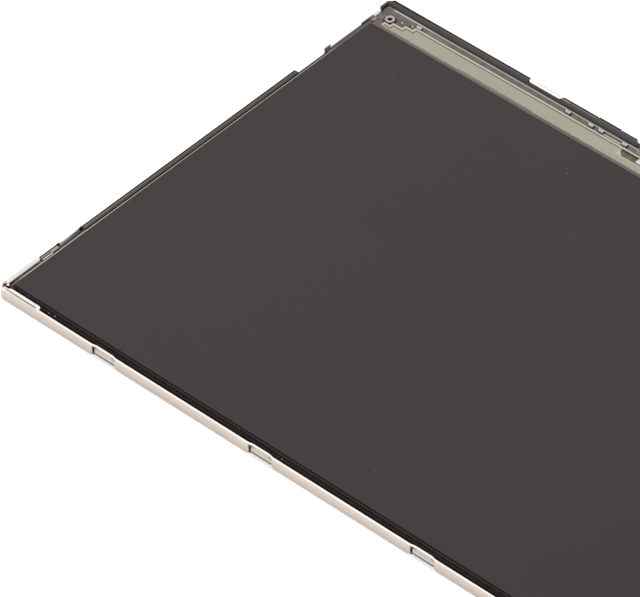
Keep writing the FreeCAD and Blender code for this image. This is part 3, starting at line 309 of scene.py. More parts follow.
def fleck_group(name):
    """Sparse small round flecks of dust."""
    group, start, end = new_group(name, {"Vector": "Vector", "Scale": "Float", "Reach": "Float", "Share": "Float"},
                                  {"Mask": "Float"})
    cells = node(group, "ShaderNodeTexVoronoi", {"Randomness": 1.0})
    channels = node(group, "ShaderNodeSeparateColor")
    near, chosen = (node(group, "ShaderNodeMath", operation="LESS_THAN") for _ in range(2))
    both = node(group, "ShaderNodeMath", operation="MULTIPLY")
    wire(group, (start, "Vector", cells, "Vector"), (start, "Scale", cells, "Scale"), (cells, "Distance", near, 0),
         (start, "Reach", near, 1), (cells, "Color", channels, "Color"), (channels, "Red", chosen, 0),
         (start, "Share", chosen, 1), (near, 0, both, 0), (chosen, 0, both, 1), (both, 0, end, "Mask"))
    return group


class Finish:
    """One material with what all finishes share: grain, smudges and flecks on Object coordinates."""

    def __init__(self, name, rough, metal=0.0, scale=5000.0, stretch=(1.0, 1.0, 1.0), bump=0.1, coat=0.0,
                 rough_spread=0.1, smudge=0.15, smudge_scale=60.0, fleck_share=0.02, specular=0.5):
        self.material = bpy.data.materials.new(name)
        self.material.use_nodes = True
        self.tree = tree = self.material.node_tree
        tree.nodes.clear()
        self.shader = node(tree, "ShaderNodeBsdfPrincipled",
                           {"Metallic": metal, "Coat Weight": coat, "Specular IOR Level": specular})
        self.coords = node(tree, "ShaderNodeTexCoord")
        scaled = node(tree, "ShaderNodeVectorMath", {"Scale": 1.0 / MM}, operation="SCALE")
        self.split = node(tree, "ShaderNodeSeparateXYZ")
        self.grain = self.shared("surface grain", grain_group, Scale=scale, Stretch=stretch)
        self.smudge = self.shared("handling smudges", smudge_group, Scale=smudge_scale, Amount=smudge)
        self.fleck = self.shared("dust flecks", fleck_group, Scale=FLECK_SCALE, Reach=FLECK_REACH, Share=fleck_share)
        lift = node(tree, "ShaderNodeMath", {1: SMUDGE_ROUGH}, operation="MULTIPLY_ADD")
        feed(tree, self.grained(rough, rough_spread), lift.inputs[2])
        relief = node(tree, "ShaderNodeBump", {"Strength": bump, "Distance": BUMP_DEPTH})
        out = node(tree, "ShaderNodeOutputMaterial")
        wire(tree, (self.coords, "Object", scaled, 0), (scaled, 0, self.split, "Vector"),
             (self.smudge, "Mask", lift, 0), (lift, 0, self.shader, "Roughness"),
             (self.grain, "Height", relief, "Height"), (relief, "Normal", self.shader, "Normal"),
             (self.shader, "BSDF", out, "Surface"))

    def shared(self, name, build, **values):
        """Node of a shared group, which is built at its first use."""
        group = bpy.data.node_groups.get(name) or build(name)
        made = node(self.tree, "ShaderNodeGroup", values, node_tree=group)
        wire(self.tree, (self.coords, "Object", made, "Vector"))
        return made

    def grained(self, middle, spread):
        """Value that the grain varies round a middle."""
        made = node(self.tree, "ShaderNodeMapRange", {"From Min": GRAIN_SPAN[0], "From Max": GRAIN_SPAN[1],
                                                      "To Min": middle - spread, "To Max": middle + spread})
        wire(self.tree, (self.grain, "Value", made, "Value"))
        return made.outputs["Result"]

    def along(self, place):
        """Socket of a place in millimetres: an axis name or a socket worked out before."""
        return self.split.outputs[place] if isinstance(place, str) else place

    def math(self, operation, *values):
        made = node(self.tree, "ShaderNodeMath", operation=operation)
        for place, value in enumerate(values):
            feed(self.tree, value, made.inputs[place])
        return made.outputs[0]

    def size(self, axis):
        """Distance from the middle of the module along one axis."""
        return self.math("ABSOLUTE", self.along(axis))

    def repeat(self, axis, pitch):
        """Offset from the middle of the nearest of an even number of places with one pitch."""
        part = self.math("FRACT", self.math("DIVIDE", self.along(axis), pitch))
        return self.math("MULTIPLY", self.math("SUBTRACT", part, 0.5), pitch)

    def step(self, place, low, high):
        """Smooth step between two places in millimetres."""
        ramp = node(self.tree, "ShaderNodeMapRange", {"From Min": low, "From Max": high},
                    interpolation_type="SMOOTHSTEP")
        feed(self.tree, self.along(place), ramp.inputs["Value"])
        return ramp.outputs["Result"]

    def band(self, place, low, high, soft=SOFT):
        """Mask of a stretch in millimetres, with soft ends."""
        return self.math("MULTIPLY", self.step(place, low - soft, low + soft),
                         self.step(place, high + soft, high - soft))

    def area(self, x0, x1, y0, y1, soft=SOFT):
        """Mask of a rectangle seen from above."""
        return self.zone(("X", x0, x1, soft), ("Y", y0, y1, soft))

    def ring(self, x, y, inner, outer):
        """Mask of a ring round a point."""
        dx = self.math("SUBTRACT", self.along("X"), x)
        dy = self.math("SUBTRACT", self.along("Y"), y)
        square = self.math("ADD", self.math("MULTIPLY", dx, dx), self.math("MULTIPLY", dy, dy))
        return self.band(self.math("SQRT", square), inner, outer)

    def waves(self, direction, pitch, low, high, distortion=0.0):
        """Mask of parallel lines with a pitch in millimetres."""
        wave = node(self.tree, "ShaderNodeTexWave", {"Scale": math.pi / (10.0 * pitch * MM), "Distortion": distortion,
                                                     "Detail": 1.0}, bands_direction=direction)
        ramp = node(self.tree, "ShaderNodeMapRange", {"From Min": low, "From Max": high})
        wire(self.tree, (self.coords, "Object", wave, "Vector"), (wave, "Fac", ramp, "Value"))
        return ramp.outputs["Result"]

    def joined(self, operation, parts):
        """One mask from parts: masks, steps (place, low, high) or bands (place, low, high, soft)."""
        whole, *rest = [(self.step(*part) if len(part) == 3 else self.band(*part)) if isinstance(part, tuple) else part
                        for part in parts]
        for mask in rest:
            whole = self.math(operation, whole, mask)
        return whole

    def zone(self, *parts):
        """Mask where all parts hold."""
        return self.joined("MULTIPLY", parts)

    def either(self, *parts):
        """Mask where any part holds."""
        return self.joined("MAXIMUM", parts)

    def mix(self, factor, first, second, blend="MIX"):
        """Colour mix whose factor and ends are sockets, numbers or colours."""
        made = node(self.tree, "ShaderNodeMix", data_type="RGBA", blend_type=blend)
        feed(self.tree, factor, made.inputs["Factor"])
        feed(self.tree, first, made.inputs[6])
        feed(self.tree, second, made.inputs[7])
        return made.outputs[2]

    def fade(self, first, second, place, low, high):
        """Colour that goes over from one to another between two places."""
        return self.mix(self.step(place, low, high), first, second)

    def paint(self, base, *rows):
        """Lays colours over a base in order, each in the zone that follows it in its row."""
        for colour, *parts in rows:
            base = self.mix(self.zone(*parts), base, colour)
        return base

    def colour(self, base, spread=0.1):
        """Base colour varied by the grain and dulled by smudges, with flecks of dust on top."""
        varied = self.mix(1.0, base, self.grained(1.0, spread), "MULTIPLY")
        dull = node(self.tree, "ShaderNodeHueSaturation", {"Value": 0.86, "Saturation": 0.9})
        feed(self.tree, varied, dull.inputs["Color"])
        wire(self.tree, (self.smudge, "Mask", dull, "Fac"))
        dusted = self.mix(self.fleck.outputs["Mask"], dull.outputs["Color"], colours().dust)
        feed(self.tree, dusted, self.shader.inputs["Base Color"])
        return self


def shade(colour, factor):
    """A colour made lighter or darker."""
    return tuple(min(1.0, part * factor) for part in colour)


def cover(piece, finish):
    """Gives a piece one material."""
    piece.data.materials.clear()
    piece.data.materials.append(finish.material)


def dress(finish, *node_names, edge=0.0):
    """Gives CAD nodes their material and, where asked, softened edges."""
    for name in node_names:
        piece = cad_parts[name]
        cover(piece, finish)
        if edge > 0.0:
            weld = piece.modifiers.new("joined faces", "WELD")
            weld.merge_threshold = WELD_REACH
            soft = piece.modifiers.new("soft edges", "BEVEL")
            soft.width = edge
            soft.segments = 2
            soft.limit_method = "ANGLE"
            soft.angle_limit = SHARP_ANGLE


def deselect_all():
    if bpy.context.mode != "OBJECT":
        bpy.ops.object.mode_set(mode="OBJECT")
    bpy.ops.object.select_all(action="DESELECT")


def select(*pieces):
    """Selects these pieces alone and makes the first one active."""
    deselect_all()
    for piece in pieces:
        piece.select_set(True)
    bpy.context.view_layer.objects.active = pieces[0]


def edit_all():
    """Goes into edit mode with everything selected."""
    bpy.ops.object.mode_set(mode="EDIT")
    bpy.ops.mesh.select_all(action="SELECT")


def choose(piece, test):
    """Goes into edit mode with those vertices selected whose place passes a test."""
    bpy.ops.object.mode_set(mode="EDIT")
    bpy.ops.mesh.select_mode(type="VERT")
    bpy.ops.mesh.select_all(action="DESELECT")
    bpy.ops.object.mode_set(mode="OBJECT")
    for vertex in piece.data.vertices:
        vertex.select = bool(test(vertex.co))
    bpy.ops.object.mode_set(mode="EDIT")


def copied(piece, place, turn):
    """Copy of a piece, with a mesh of its own, at another place."""
    select(piece)
    bpy.ops.object.duplicate(linked=False)
    copy = bpy.context.active_object
    copy.location = place
    copy.rotation_euler.z = turn
    return copy


def settle(pieces, name, finish):
    """Joins finished pieces, names them, applies their place and lets them ride with the module."""
    select(*pieces)
    bpy.ops.object.join()
    piece = bpy.context.active_object
    select(piece)
    bpy.ops.object.transform_apply(location=True, rotation=True, scale=True)
    piece.name = name
    piece.data.name = name
    cover(piece, finish)
    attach(piece, BODY)


def thicken(piece, thickness):
    """Gives a bare surface the thickness of its sheet, half to each side, and turns its faces outwards."""
    bpy.ops.object.mode_set(mode="OBJECT")
    sheet = piece.modifiers.new("sheet", "SOLIDIFY")
    sheet.thickness = thickness
    sheet.offset = 0.0
    bpy.ops.object.modifier_apply(modifier=sheet.name)
    edit_all()
    bpy.ops.mesh.normals_make_consistent(inside=False)
    bpy.ops.object.mode_set(mode="OBJECT")


def pebble(place, size, seed):
    """Uneven rounded blob, flattened to its size, that sits half sunk at its place, in millimetres."""
    deselect_all()
    bpy.ops.mesh.primitive_ico_sphere_add(subdivisions=3, radius=0.5, location=Vector(place) * MM)
    blob = bpy.context.active_object
    blob.scale = Vector(size) * MM
    edit_all()
    bpy.ops.transform.vertex_random(offset=0.08, seed=seed)
    bpy.ops.mesh.vertices_smooth(factor=0.5, repeat=2)
    bpy.ops.object.mode_set(mode="OBJECT")
    bpy.ops.object.shade_smooth()
    return blob


def flat_strip(start, end, width, level, height):
    """Thin strip with bevelled upper edges between two points, all in millimetres."""
    deselect_all()
    run = Vector(end) - Vector(start)
    middle = (Vector(start) + Vector(end)) / 2
    bpy.ops.mesh.primitive_cube_add(size=1.0, location=Vector((*middle, level + height / 2)) * MM)
    strip = bpy.context.active_object
    strip.scale = Vector((run.length, width, height)) * MM
    strip.rotation_euler.z = math.atan2(run.y, run.x)
    bpy.ops.object.transform_apply(location=False, rotation=False, scale=True)
    choose(strip, lambda place: place.z > 0.0)
    bpy.ops.mesh.bevel(offset=min(height * 0.6, width * 0.2) * MM, segments=2, affect="EDGES")
    bpy.ops.object.mode_set(mode="OBJECT")
    return strip


def strips_at_both_ends(rows):
    """Strips from rows that hold for the left end, and their mirror images at the right end."""
    return [flat_strip((side * start[0], start[1]), (side * end[0], end[1]), *rest)
            for side in (1, -1) for start, end, *rest in rows]


def film_window(finish, margin, far_margin, soft=SOFT):
    """Mask of the film's window with a margin, which may be another one on the far side."""
    return finish.area(-WINDOW_X - margin, WINDOW_X + margin, WINDOW_NEAR - margin, WINDOW_FAR + far_margin, soft)


class LCD_OT_tray(bpy.types.Operator):
    """Gives the folded tray its rolled-sheet finish, with painted highlights on its upper edges and painted shade in
    the folds and on the pressed tongues
    """
    bl_idname = "lcd.tray"
    bl_label = "Finish the tray"

    def near_windows(self, finish, base, inside):
        """Tongues of the near windows: painted shade over the upper half and below the window's upper edge, at the
        left end and along the foot, and a painted highlight along the lower roll.
        """
        tint = colours()
        offset = finish.repeat("X", TONGUE_PITCH)
        tongue = finish.zone((offset, -TONGUE_HALF, TONGUE_HALF, SOFT), inside, ("Z", 0.5, 2.47, SOFT),
                             ("Y", -50.6, -50.8))
        return finish.paint(
            base,
            # painted shade over the upper half of the tongues
            (tint.tongue, tongue, ("Z", 1.25, 1.5)),
            (tint.tongue_shade, tongue, ("Z", 1.95, 2.3)),
            # painted shadow at the left end
            (shade(tint.steel, 0.2), tongue, ("Z", 1.6, 2.2), (offset, -0.9, -2.3)),  # left end
            # painted highlight along the lower roll
            (shade(tint.steel, 1.35), tongue, ("Z", 0.97, 1.2, 0.05)),  # lower roll
            # painted shade along the foot
            (shade(tint.steel, 0.28), tongue, ("Z", 0.94, 0.88)))  # foot

    def side_windows(self, finish, base, on_side):
        """Strips over the side windows: a painted cool sheen that fades away from the near corner, painted shade on
        the inner slope, two slits.
        """
        tint = colours()
        strip = finish.zone(on_side, ("Y", -37.0, -31.4, 0.05))
        sheen = finish.fade(tint.side_strip, shade(tint.side_strip, 0.22), "Y", -36.5, -31.0)
        slits = finish.either(("Y", -37.45, -36.75, 0.03), ("Y", -31.4, -30.9, 0.03))
        return finish.paint(
            base,
            (sheen, strip),
            # painted shade on the strips' inner slope
            (shade(tint.side_strip, 0.08), strip, (finish.size("X"), *SLOPE_X)),
            (shade(tint.steel, 0.05), on_side, slits))

    def execute(self, context):
        tint = colours()
        finish = Finish("rolled steel", 0.32, metal=1.0, scale=2500.0, stretch=(0.06, 0.06, 1.6), bump=0.05,
                        rough_spread=0.06, smudge=0.25, smudge_scale=120.0, fleck_share=0.004)
        near, side, across = TRAY_LOW.y, TRAY_HIGH.x, finish.size("X")
        top = ("Z", 2.6, 2.68)
        inside = finish.either(("Y", near + 0.08, near + 0.16), (across, side - 0.12, side - 0.2))
        on_side = finish.zone((across, side - 1.3, side - 1.2), inside, ("Z", 1.5, 1.7))
        on_lip = finish.zone(top, (across, side - 1.5, side - 1.2), ("Y", -41.0, -42.0))
        slant = finish.math("ADD", finish.along("Y"), finish.math("SUBTRACT", side, across))
        lip_end_fade = finish.fade(shade(tint.olive_steel, 1.9), shade(tint.olive_steel, 0.3), across, side - 0.35, side - 0.8)
        low_wall = finish.either(("Z", 1.86, 2.1, SOFT), finish.zone(inside, ("Z", 0.9, 2.1, SOFT)))
        base = finish.paint(
            # painted shade: the steel darkens towards the foot of the walls
            finish.fade(shade(tint.steel, 0.78), shade(tint.steel, 1.06), "Z", 0.0, 2.6),
            # painted highlight along the upper edges of the walls and lips
            (tint.rim_highlight, ("Z", 2.52, 2.72)),
            # painted highlight on the strip over the far bar
            (tint.far_strip_highlight, ("Y", 50.9, 51.1), ("Z", 2.48, 2.55)),
            # painted shade along the near lip's fold
            (shade(tint.steel, 0.3), ("Y", near + 0.21, near + 0.44, 0.05), top, (across, 71.6, 79.1, 0.1)),  # fold
            (tint.side_lip, on_lip, (across, side - 0.55, side - 0.85), ("Y", -50.9, -50.5)),
            # pale at the outer edge of the side lips' near ends, darker further in
            (lip_end_fade, on_lip, (slant, -49.75, -49.95), ("Y", -51.0, -50.9)),
            # darker olive steel on the low stretch of the side walls
            (shade(tint.olive_steel, 0.55), (across, side - 0.8, side - 0.7), ("Y", 35.1, 46.9, 0.05), low_wall))
        base = self.near_windows(finish, base, inside)
        finish.colour(self.side_windows(finish, base, on_side), 0.04)
        dull = finish.zone(inside, ("Z", 2.53, 2.47), ("Y", 52.0, 51.0))
        feed(finish.tree, finish.math("MULTIPLY_ADD", dull, -0.6, 1.0), finish.shader.inputs["Metallic"])
        dress(finish, "rear_tray", edge=sizes().sheet_edge)
        return {"FINISHED"}


class LCD_OT_corner_leaves(bpy.types.Operator):
    """Adds the curved leaf of sheet in each notch beside the near corners, with its gusset, shelf and lip tip"""
    bl_idname = "lcd.corner_leaves"
    bl_label = "Add the corner leaves"

    def leaf(self, side):
        """One leaf: an upright line spun round the corner's centre, then given the sheet's thickness."""
        size = sizes()
        deselect_all()
        middle = size.corner_radius - size.leaf_inset - size.leaf_sheet / 2
        half = size.leaf_height / 2
        centre = Vector((side * (TRAY_HIGH.x * MM - size.corner_radius), TRAY_LOW.y * MM + size.corner_radius, 0.0))
        place = centre + Vector((side * (middle + half), 0.0, LEAF_BASE * MM + half))
        bpy.ops.mesh.primitive_plane_add(size=size.leaf_height, location=place, rotation=(math.pi / 2, 0.0, 0.0))
        leaf = bpy.context.active_object
        bpy.ops.object.transform_apply(location=True, rotation=True, scale=True)
        choose(leaf, lambda point: abs(point.x) > abs(place.x))
        bpy.ops.mesh.delete(type="VERT")
        bpy.ops.mesh.select_all(action="SELECT")
        bpy.ops.mesh.spin(steps=8, angle=math.radians(LEAF_TURN) * -side, center=centre, axis=(0.0, 0.0, 1.0))
        thicken(leaf, size.leaf_sheet)
        return leaf

    def execute(self, context):
        finish = Finish("stained sheet", 0.36, metal=0.8, scale=2500.0, bump=0.05, smudge=0.2, smudge_scale=400.0)
        top, side = LEAF_BASE + sizes().leaf_height / MM, TRAY_HIGH.x
        olive_steel = colours().olive_steel
        base = finish.paint(
            # darker towards the foot of the leaves, paler at their top
            finish.fade(shade(olive_steel, 0.6), shade(olive_steel, 2.2), "Z", top - 0.34, top - 0.16),
            (shade(colours().steel, 1.2), (finish.size("X"), side - 0.5, side - 0.9)))
        made = [self.leaf(-1), self.leaf(1), *strips_at_both_ends(CORNER_STRIPS)]
        settle(made, "corner_leaves", finish.colour(base, 0.08))
        return {"FINISHED"}


class LCD_OT_frame(bpy.types.Operator):
    """Gives the moulded frame its black finish, greyer on bar and flanges, and adds its ribs and rails at the sides"""
    bl_idname = "lcd.frame"
    bl_label = "Finish the frame"

    def flanges(self, finish, base, across):
        """Side flanges: a pale strip, a bare near end with a bright line, a dark lip, a crest at the far corners."""
        tint, side, board_far = colours(), FRAME_HIGH.x, BOARD_HIGH.y
        on_flange = finish.zone((across, side - 1.16, side - 1.1), ("Z", 2.1, 2.3), ("Y", -42.5, -42.0),
                                ("Y", 49.0, 48.0))
        strip = finish.fade(shade(tint.flange_strip, 0.75), shade(tint.flange_strip, 1.3), "Y", -5.0, -40.0)
        bare = finish.either((across, side - 0.6, side - 0.4, SOFT),
                             finish.zone(("Y", -39.5, -39.1), (across, side - 1.0, side - 0.36, SOFT)))
        corner = finish.zone(("Y", 48.4, 48.6), ("Y", board_far + 0.1, board_far), ("Z", 1.95, 2.0),
                             (across, side - 0.6, side - 0.5))
        return finish.paint(
            base,
            (tint.flange, on_flange),
            (strip, on_flange, (across, side - 0.72, side - 0.42, 0.06)),
            (tint.flange_end, on_flange, ("Y", -36.0, -37.0), bare),
            (shade(tint.flange, 0.5), on_flange, ("Y", -39.1, -39.5), (across, side - 0.93, side - 0.7, 0.03)),  # gap
            (shade(tint.bar_grey, 0.75), corner),
            (shade(tint.bar_grey, 2.0), corner, ("Z", 2.3, 2.5), (across, side - 0.36, side - 0.12, 0.06)),  # crest
            (shade(tint.flange, 0.12), on_flange, (across, side - 0.42, side - 0.36)),  # lip
            (tint.flange_shine, ("X", 0.97 - side, 1.2 - side, SOFT), ("Y", -41.9, -39.3, SOFT), ("Z", 2.3, 2.45)))

    def bar(self, finish, base, across):
        """Far bar: matt grey, dark along its outer edge with a paler line beside it, and paler still near the notch.
        """
        tint, far, board_far = colours(), FRAME_HIGH.y, BOARD_HIGH.y
        on_bar = finish.step("Y", board_far - 0.1, board_far)
        outer_edge = finish.either(("Y", far - 0.3, far - 0.22),
                                   finish.zone((across, 30.6, 31.0), ("Y", far - 0.5, far - 0.4)),
                                   finish.zone((across, 68.0, 73.0), ("Y", far - 0.68, far - 0.58)))
        line = finish.zone(("Y", far - 0.74, far - 0.54, 0.03), ("X", -38.9, -30.8, 0.1))
        return finish.paint(
            base,
            (tint.bar_grey, on_bar),
            # painted light: the inner face is made lighter than the bar's top for light from the camera's side
            (shade(tint.bar_grey, 1.15), ("Y", board_far, board_far + 0.09, 0.02), ("Z", 2.0, 2.3)),  # inner face
            (shade(tint.bar_grey, 1.55), on_bar, ("Y", far - 0.74, far - 0.5, 0.05)),  # beside the outer edge
            (shade(tint.bar_grey, 0.3), on_bar, outer_edge),
            (shade(tint.pale_edge_line, 0.55), line),
            (tint.pale_edge_line, line, ("X", -36.8, -37.4)))

    def execute(self, context):
        tint, side = colours(), FRAME_HIGH.x
        finish = Finish("black moulding", 0.5, scale=9000.0, bump=0.12, smudge=0.25, smudge_scale=250.0,
                        fleck_share=0.006, specular=0.08)
        across, rim = finish.size("X"), ("Z", 2.06, 2.2, SOFT)
        base = finish.paint(
            finish.fade(tint.frame_black, tint.frame_brown, "Z", 2.04, 2.09),
            # painted shadow: the rim goes black next to the near wall
            (tint.frame_black, ("Y", -50.8, -50.95)),
            (tint.side_rim, (across, side - 1.4, side - 0.5, SOFT), rim, ("Y", -50.3, -49.9)),
            # painted light on the moulding beside the side lips
            (tint.lip_gap_light, (across, side - 1.15, side - 0.6, SOFT), rim, ("Y", -50.3, -42.0, 0.2)),
            (tint.frame_corner, (across, side - 2.2, side - 0.3, SOFT), ("Z", 2.12, 2.2), ("Y", -50.75, -49.2, 0.1)))
        base = self.flanges(finish, base, across)
        finish.colour(self.bar(finish, base, across), 0.1)
        dress(finish, "mould_frame", edge=sizes().frame_edge)
        settle(strips_at_both_ends(FRAME_STRIPS), "frame_ribs", finish)
        return {"FINISHED"}


class LCD_OT_cell(bpy.types.Operator):
    """Finishes the display cell: both glasses, with their cut edges, and both polarisers"""
    bl_idname = "lcd.cell"
    bl_label = "Finish the display cell"

    def execute(self, context):
        tint = colours()
        film = Finish("anti-glare polariser", 0.42, scale=12000.0, bump=0.04, smudge=0.1, smudge_scale=35.0,
                      rough_spread=0.05, fleck_share=0.0006, specular=0.2)
        film.colour(film.fade(tint.polariser_warm, tint.polariser_cool, "X", POLARISER_LOW.x, POLARISER_HIGH.x), 0.08)
        dress(film, "front_polariser", "rear_polariser")
        low, high, edge = GLASS_LOW, GLASS_HIGH, tint.glass_edge_highlight
        glass = Finish("cut glass", fleck_share=0.004, **GLASS_LOOK)
        # painted highlight along the side edges, brightest towards the near corner and dimmer in two stretches
        side_edge_highlight = glass.paint(
            glass.fade(shade(edge, 0.78), shade(edge, 1.25), "Y", -5.0, -46.0),
            (shade(edge, 0.36), ("Y", 32.0, 37.0)),
            (shade(edge, 0.42), ("Y", -47.0, -48.8)))
        base = glass.paint(
            tint.glass,
            # painted highlights on the near face and along the far edge
            (shade(edge, 0.16), ("Y", low.y + 0.06, low.y + 0.02), ("Z", high.z - 0.3, high.z - 0.02, SOFT)),  # near
            (shade(edge, 0.4), ("Y", high.y - 0.13, high.y + 0.02, 0.03)),  # far
            (side_edge_highlight, (glass.size("X"), high.x - 0.26, high.x - 0.18)))
        dress(glass.colour(base, 0.1), "cover_glass")
        ledge = Finish("glass ledge", fleck_share=0.006, **GLASS_LOOK)
        across = ledge.size("X")
        base = ledge.paint(
            shade(tint.ledge, 1.65),
            (shade(tint.ledge, 0.8), ("Y", high.y + 0.66, high.y + 0.8, 0.03), (across, 52.0, 36.0)),  # film's shadow
            # painted highlight on the ledge beside the film's near edge
            (shade(tint.pad, 1.6), ("Y", high.y + 0.82, high.y + 0.9), (across, FILM_HIGH.x, FILM_HIGH.x - 0.1)))
        dress(ledge.colour(base, 0.1), "base_glass")
        return {"FINISHED"}


class LCD_OT_backlight(bpy.types.Operator):
    """Finishes the closed-in sheets, light guide and light sources"""
    bl_idname = "lcd.backlight"
    bl_label = "Finish the backlight"

    def execute(self, context):
        tint = colours()
        rows = (("white sheet", 0.5, tint.sheet_white, ("reflector_sheet", "leds")),
                ("milky sheet", 0.35, tint.sheet_milky, ("diffuser_sheet", "lower_prism_sheet", "upper_prism_sheet")),
                ("clear guide", 0.15, tint.guide, ("light_guide",)),
                ("black tape", 0.6, tint.tape, ("seat_tape",)))
        for name, rough, colour, nodes in rows:
            dress(Finish(name, rough, scale=6000.0).colour(colour, 0.06), *nodes)
        return {"FINISHED"}


class LCD_OT_board(bpy.types.Operator):
    """Finishes the driver board with its print, and the two layers of film over the ledge"""
    bl_idname = "lcd.board"
    bl_label = "Finish the board and film"

    def board(self, tint):
        """Solder mask: printed bars, dark round the eyelet and with painted shadows beside the parts, and a bare far
        edge that is brightest near the eyelet.
        """
        mask = Finish("solder mask", 0.45, smudge=0.3, smudge_scale=400.0, fleck_share=0.01,
                      specular=0.35)
        far, film_far = BOARD_HIGH.y, FILM_HIGH.y
        plain, dark, bare = tint.board, tint.board_dark_and_shadow, tint.board_edge
        near_cap, far_cap = CAPACITOR_LOW.y - 0.3, CAPACITOR_HIGH.y - 0.1
        eye_x, eye_y = EYELET_SPOT
        # painted shadows of the chip parts, reaching out on their near side
        chip_shadows = [(shade(dark, 0.4), mask.area(x - 0.55, x + 0.85, near_cap, far_cap))
                       for place in CAPACITORS_X for x in (-place, place)]
        holes = [(shade(dark, 0.5), mask.ring(x, y, -1.0, VIA_RADIUS)) for x, y in VIAS]
        in_window = mask.paint(
            shade(dark, 2.6),
            (shade(dark, 3.6), mask.waves("X", 1.9, 0.55, 0.7, 1.5)),
            (dark, ("Y", WINDOW_FAR - 0.55, WINDOW_FAR - 0.2)))
        edge = mask.paint(
            mask.fade(shade(bare, 1.5), bare, "X", -74.5, -66.0),
            (shade(bare, 0.62), ("X", -78.1, -78.7)))
        base = mask.paint(
            plain,
            (shade(plain, 0.85), mask.waves("X", 2.3, 0.6, 0.8, 3.0)),
            (shade(plain, 1.6), mask.waves("X", 0.52, 0.55, 0.7), mask.area(-69.6, -65.0, 49.4, 50.15, 0.15)),  # bars
            (shade(plain, 0.62), mask.waves("X", 0.3, 0.5, 0.6), mask.area(-27.6, -23.4, 49.6, 50.4, 0.1)),  # comb
            # painted shadow along the film's far edge
            (shade(plain, 0.72), ("Y", film_far + 0.3, film_far + 0.1)),  # beside the film
            *chip_shadows,
            (dark, mask.ring(eye_x, eye_y, EYELET_REACH, 1.27)),
            # painted shadow: a dark ring set off towards the near right of the eyelet
            (shade(dark, 0.6), mask.ring(eye_x + 0.14, eye_y - 0.14, EYELET_REACH, 1.3)),
            *holes,
            (in_window, film_window(mask, 0.1, 0.1)),
            (edge, ("Y", far - 0.44, far - 0.3)))
        dress(mask.colour(base, 0.08), "driver_board")

    def film(self, tint):
        """Border of the film, with painted shade in the groove round its inner layer, but not beside its window, and
        along its far edge.
        """
        film = Finish("pale film", **FILM_LOOK)
        low, high = FILM_LOW, FILM_HIGH
        groove = film.zone(("Z", high.z - 0.03, high.z - 0.06), ("Y", low.y + 0.05, low.y + 0.1),
                           ("Y", high.y - 0.05, high.y - 0.1))
        groove = film.math("MINIMUM", groove, film.math("SUBTRACT", 1.0, film_window(film, 0.5, -0.1)))
        base = film.paint(
            tint.film,
            # painted shade in the groove and along the far edge
            (tint.film_groove_shade, groove),
            (shade(tint.film_groove_shade, 0.8), ("Y", high.y - 0.08, high.y - 0.02)))  # far edge
        dress(film.colour(base, 0.05), "ledge_film")

    def pad(self, tint):
        """Inner layer of the film, a little greener in places, paler round its window, and with a painted highlight
        along its near edge.
        """
        pad = Finish("pad film", 0.42, scale=2500.0, bump=0.12, smudge=0.2, smudge_scale=160.0, specular=0.35)
        greener = (tint.pad[0] * 0.97, tint.pad[1], tint.pad[2] * 0.96)
        base = pad.paint(
            tint.pad,
            (greener, pad.waves("X", 14.0, 0.2, 0.8, 3.0)),
            (shade(tint.pad, 1.12), film_window(pad, 0.5, 0.3, 0.06)),
            # painted highlight along the near edge
            (shade(tint.pad, 1.45), ("Y", PAD_LOW.y + 0.12, PAD_LOW.y + 0.05)))  # near edge
        dress(pad.colour(base, 0.04), "film_pad")

    def execute(self, context):
        tint = colours()
        self.board(tint)
        self.film(tint)
        self.pad(tint)
        return {"FINISHED"}


class LCD_OT_film_corners(bpy.types.Operator):
    """Adds the slanted near corners of the film's window"""
    bl_idname = "lcd.film_corners"
    bl_label = "Add the film's corners"

    def corner(self, side):
        """One corner: a square of film with one corner cut off, given its thickness."""
        size = sizes()
        half, thick = size.window_corner / 2, size.window_corner_sheet
        place = (side * (WINDOW_X * MM - half), WINDOW_NEAR * MM + half, BOARD_HIGH.z * MM + thick / 2)
        deselect_all()
        bpy.ops.mesh.primitive_plane_add(size=size.window_corner, location=place)
        corner = bpy.context.active_object
        choose(corner, lambda point: point.x * side < 0.0 and point.y > 0.0)
        bpy.ops.mesh.dissolve_verts()
        thicken(corner, thick)
        return corner

    def execute(self, context):
        finish = Finish("film corner", **FILM_LOOK).colour(colours().film, 0.05)
        settle([self.corner(-1), self.corner(1)], "film_corners", finish)
        return {"FINISHED"}


class LCD_OT_parts(bpy.types.Operator):
    """Finishes the eyelet, the solder points and the chip parts on the board and the glass"""
    bl_idname = "lcd.parts"
    bl_label = "Finish the small parts"

    def execute(self, context):
        tint, edge, level = colours(), sizes().part_edge, BOARD_HIGH.z
        ring = Finish("plated ring", 0.36, metal=0.7, scale=6000.0, smudge=0.4, smudge_scale=900.0)
        # painted shade in the eyelet's hole, and painted shadow on the ring's lower outer wall
        bore = ring.ring(*EYELET_SPOT, -1.0, EYELET_BORE)
        foot = ring.zone(ring.ring(*EYELET_SPOT, EYELET_REACH, 2.0), ("Z", 2.24, 2.16))
        base = ring.paint(tint.eyelet, (tint.board_dark_and_shadow, ring.either(bore, foot)))
        dress(ring.colour(base, 0.15), "ground_eyelet", edge=edge)
        tin = Finish("bright solder", 0.25, metal=0.9)
        dress(tin.colour(tint.solder, 0.1), "test_points")
        chip = Finish("pale ceramic", 0.45, bump=0.2, smudge=0.3, smudge_scale=900.0)
        chip.colour(chip.fade(tint.ceramic, tint.solder, "Z", level + 0.355, level + 0.365), 0.12)
        dress(chip, "capacitors", "resistors", "power_chips", edge=edge)
        die = Finish("polished die", 0.2, metal=0.4, scale=4000.0, bump=0.08)
        dress(die.colour(tint.die, 0.1), "driver_chips")
        return {"FINISHED"}


